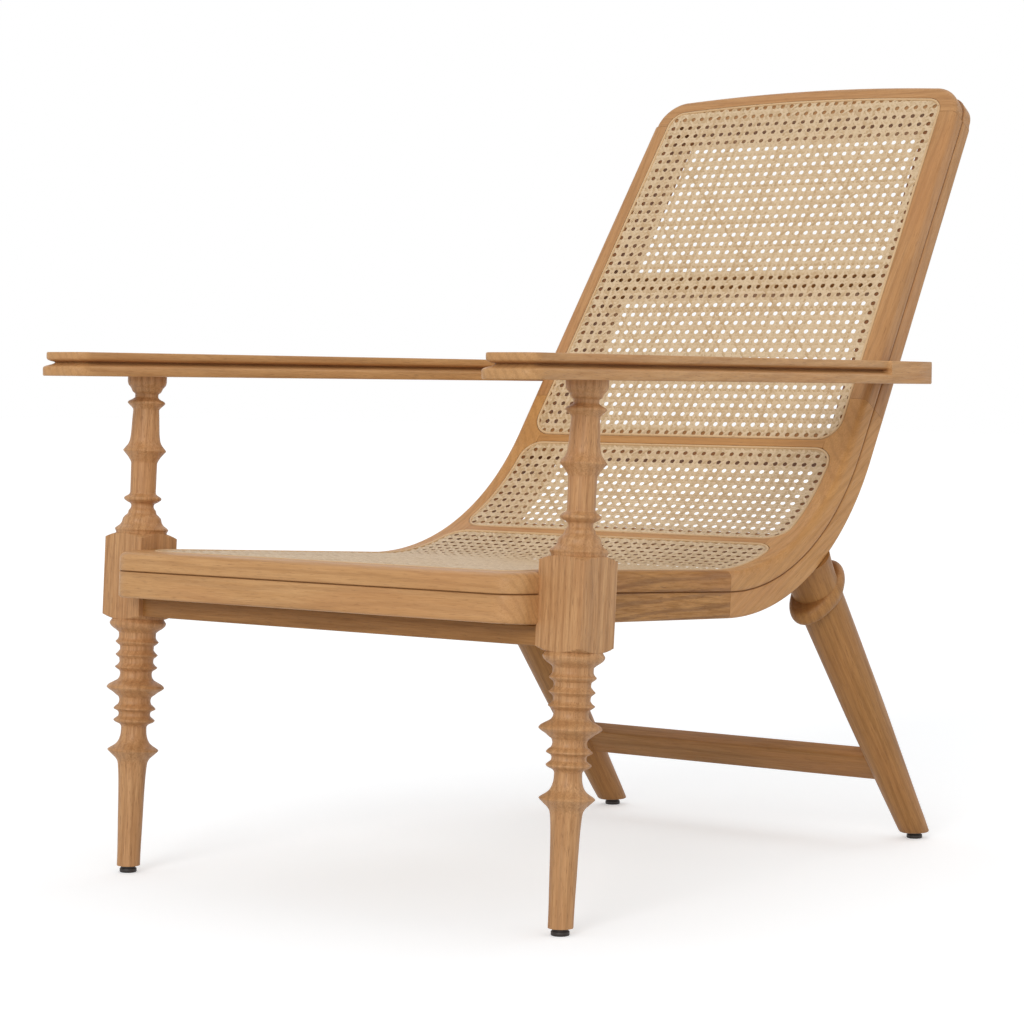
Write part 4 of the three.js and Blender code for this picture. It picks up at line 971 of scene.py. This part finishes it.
def rear_leg(label, side, around=72):
    """A round leg that swells from its foot to an oval knuckle and flares on to the shell. Each
    ring reaches as far as the round leg or the knuckle, whichever is more, with a soft crease
    between them, and the knuckle's rings are raised at the back and lowered in front in
    proportion to their reach; the last rings share out each point's own way to the shell."""
    x, turn = side * REAR_X, even_turn(around)
    foot, middle, top, neck = REAR_RADII
    bottom = [leg_ring(x, GLIDE_HEIGHT + rise, foot - less, 0, turn)
              for rise, less in ((0, 1.8), (0.7, 0.6), (2, 0))]
    edge = KNUCKLE_THICK / 2
    start = -(KNUCKLE_HEIGHT - GLIDE_HEIGHT - 18) / math.cos(REAR_LEAN)
    offsets = np.concatenate([np.linspace(start, -17, 36), [-15.4, -13.6, -12.0, -10.7],
                              edge * np.cos(np.linspace(math.pi, 0, 25)), [10.7, 12.2, 14.0]])
    levels = KNUCKLE_HEIGHT + offsets * math.cos(REAR_LEAN)
    shape = np.interp(levels, [GLIDE_HEIGHT, REAR_MIDDLE, KNUCKLE_HEIGHT], [foot, middle, top])
    tilts = REAR_LEAN * np.clip((levels - GLIDE_HEIGHT) / 60, 0, 1)
    oval = knuckle_reach(turn, offsets[:, None])
    plain = np.broadcast_to(blurred(shape, 3)[:, None], oval.shape)
    most = np.maximum(oval, plain)
    reach = most + KNUCKLE_SOFT * np.log(np.exp((oval - most) / KNUCKLE_SOFT)
                                         + np.exp((plain - most) / KNUCKLE_SOFT))
    lifts = KNUCKLE_TILT * np.interp(offsets, [-50, -16], [0, 1])[:, None] * reach * np.sin(turn)
    body = [leg_ring(x, level, ring, tilt, turn) + lift[:, None] * np.array([0, *LEG_UP])
            for level, ring, tilt, lift in zip(levels, reach, tilts, lifts)]
    way_up = seat_meeting(body[-1])
    flare = (body[-1] - np.array([x, leg_line(levels[-1]), levels[-1]])) * (neck / top - 1)
    upper = [body[-1] + way_up * share + flare * share ** 1.5 * 0.7
             for share in np.linspace(0.1, 1, 10)]
    rings = np.array(bottom + body + upper)
    along = np.stack([rings[..., 1:] @ LEG_UP, rings[..., 0], rings[..., 1:] @ LEG_BACK], -1)
    # Painted shade: a dark crease where the knuckle stands proud of the leg, and a darkening that
    # grows up the neck towards the shell's underside.
    crease = np.exp(-((np.abs(offsets) - edge) / 1.5) ** 2)[:, None]
    proud = np.clip((oval.max(0) - top) / 8, 0, 1)
    neck_painted_shade = np.linspace(0.05, 0.3, len(upper))[:, None] * np.ones(around)
    painted_shade = np.concatenate([np.zeros((len(bottom), around)), 0.5 * crease * proud, neck_painted_shade])
    return piece(f"rear_leg_{label}", tube(rings), oak_brown_and_painted_shade,
                 along=along, painted_shade=painted_shade, sharp=50)


def tilted(x, across, up):
    """The stretcher's section leans with the rear legs, about their line at its level."""
    y = leg_line(STRETCHER_LEVEL) + across * LEG_BACK[0] + up * LEG_UP[0]
    return np.stack([x, y, STRETCHER_LEVEL + across * LEG_BACK[1] + up * LEG_UP[1]], -1)


for label, side in SIDES:
    rear_leg(label, side)
board("rear_stretcher", -STRETCHER, STRETCHER, tilted, 2.0)

for node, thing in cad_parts.items():
    if "dowel" in node or "bolt" in node:
        thing.data.materials.clear()
        thing.data.materials.append(dowel if "dowel" in node else bolt)


# Floor, light and camera

FLOOR_REACH, FLOOR_SHADE, FLOOR_GLOW, SKY = 30.0, (0.80, 0.812, 0.825, 1), 0.38, 0.62
# each sun's name, the way to it, its strength, and how many degrees wide it looks
SUNS = (("front", (0.3, -0.88, 0.4), 1.06, 24), ("side", (0.9, -0.2, 0.3), 0.3, 80),
        ("above", (-0.2, 0.4, 1.0), 0.3, 60))
CAMERA_PLACE, CAMERA_LENS, CAMERA_SENSOR = (2.1357, -2.4254 + FOOT_Y, 0.547), 107.96, 36.0
CAMERA_TURN, CAMERA_TILT, CAMERA_ROLL = map(math.radians, (38.05, 2.36, 0.51))


def placed_object(name, data, axes, place=(0, 0, 0)):
    """Puts a lamp or camera in the scene, with its own axes along these three directions."""
    thing = bpy.data.objects.new(name, data)
    turned = Matrix(np.stack(axes, 1).tolist()).to_4x4()
    thing.matrix_world = Matrix.Translation(place) @ turned
    bpy.context.scene.collection.objects.link(thing)
    return thing


def floor_finish():
    """A plain pale floor. To the camera and in reflections it also glows a little, so that it
    comes out white where nothing shades it."""
    pale = Shader("floor", 0.9)
    pale.tree.nodes.remove(pale.surface)
    diffuse = pale.add("BsdfDiffuse", {"Color": FLOOR_SHADE})
    glow = pale.add("Emission", {"Strength": pale.times(pale.seen(), FLOOR_GLOW)})
    both = pale.add("AddShader")
    pale.put(both.inputs[0], diffuse.outputs[0])
    pale.put(both.inputs[1], glow.outputs[0])
    pale.put(pale.tree.nodes["Material Output"].inputs["Surface"], both.outputs[0])
    return pale.material


def studio():
    """A wide floor, a white world to the camera and a softer one to the object, and three soft
    suns: one from the front, a weak wide one from the side and one from above."""
    mesh = bpy.data.meshes.new("floor")
    corners = [(x * FLOOR_REACH, y * FLOOR_REACH, 0)
               for x, y in ((-1, -1), (1, -1), (1, 1), (-1, 1))]
    mesh.from_pydata(corners, [], [(0, 1, 2, 3)])
    mesh.materials.append(floor_finish())
    floor = bpy.data.objects.new("floor", mesh)
    bpy.context.scene.collection.objects.link(floor)
    world = bpy.data.worlds.new("studio")
    bpy.context.scene.world = world
    world.use_nodes = True
    sky = Nodes(world.node_tree)
    light = sky.tree.nodes["Background"].inputs
    sky.put(light["Strength"], sky.band(sky.seen(), 0.0, 1.0, SKY, 1.0))
    light["Color"].default_value = (1, 1, 1, 1)
    for name, place, strength, spread in SUNS:
        lamp = bpy.data.lights.new(name, "SUN")
        lamp.energy, lamp.angle = strength, math.radians(spread)
        away = np.array(place) / np.linalg.norm(place)
        across = np.cross([0, 0, 1], away)
        across = across / np.linalg.norm(across)
        placed_object(name, lamp, (across, np.cross(away, across), away))


def camera():
    """The photograph's viewpoint: its turn, its slight tilt down and its slight roll."""
    lens = bpy.data.cameras.new("camera")
    lens.lens, lens.sensor_width = CAMERA_LENS, CAMERA_SENSOR
    level = math.cos(CAMERA_TILT)
    forward = np.array([-math.sin(CAMERA_TURN) * level, math.cos(CAMERA_TURN) * level,
                        -math.sin(CAMERA_TILT)])
    right = np.array([math.cos(CAMERA_TURN), math.sin(CAMERA_TURN), 0])
    up = np.cross(right, forward)
    cosine, sine = math.cos(CAMERA_ROLL), math.sin(CAMERA_ROLL)
    axes = cosine * right + sine * up, cosine * up - sine * right, -forward
    bpy.context.scene.camera = placed_object("camera", lens, axes, CAMERA_PLACE)


studio()
camera()
bpy.context.scene.view_settings.view_transform = "Standard"
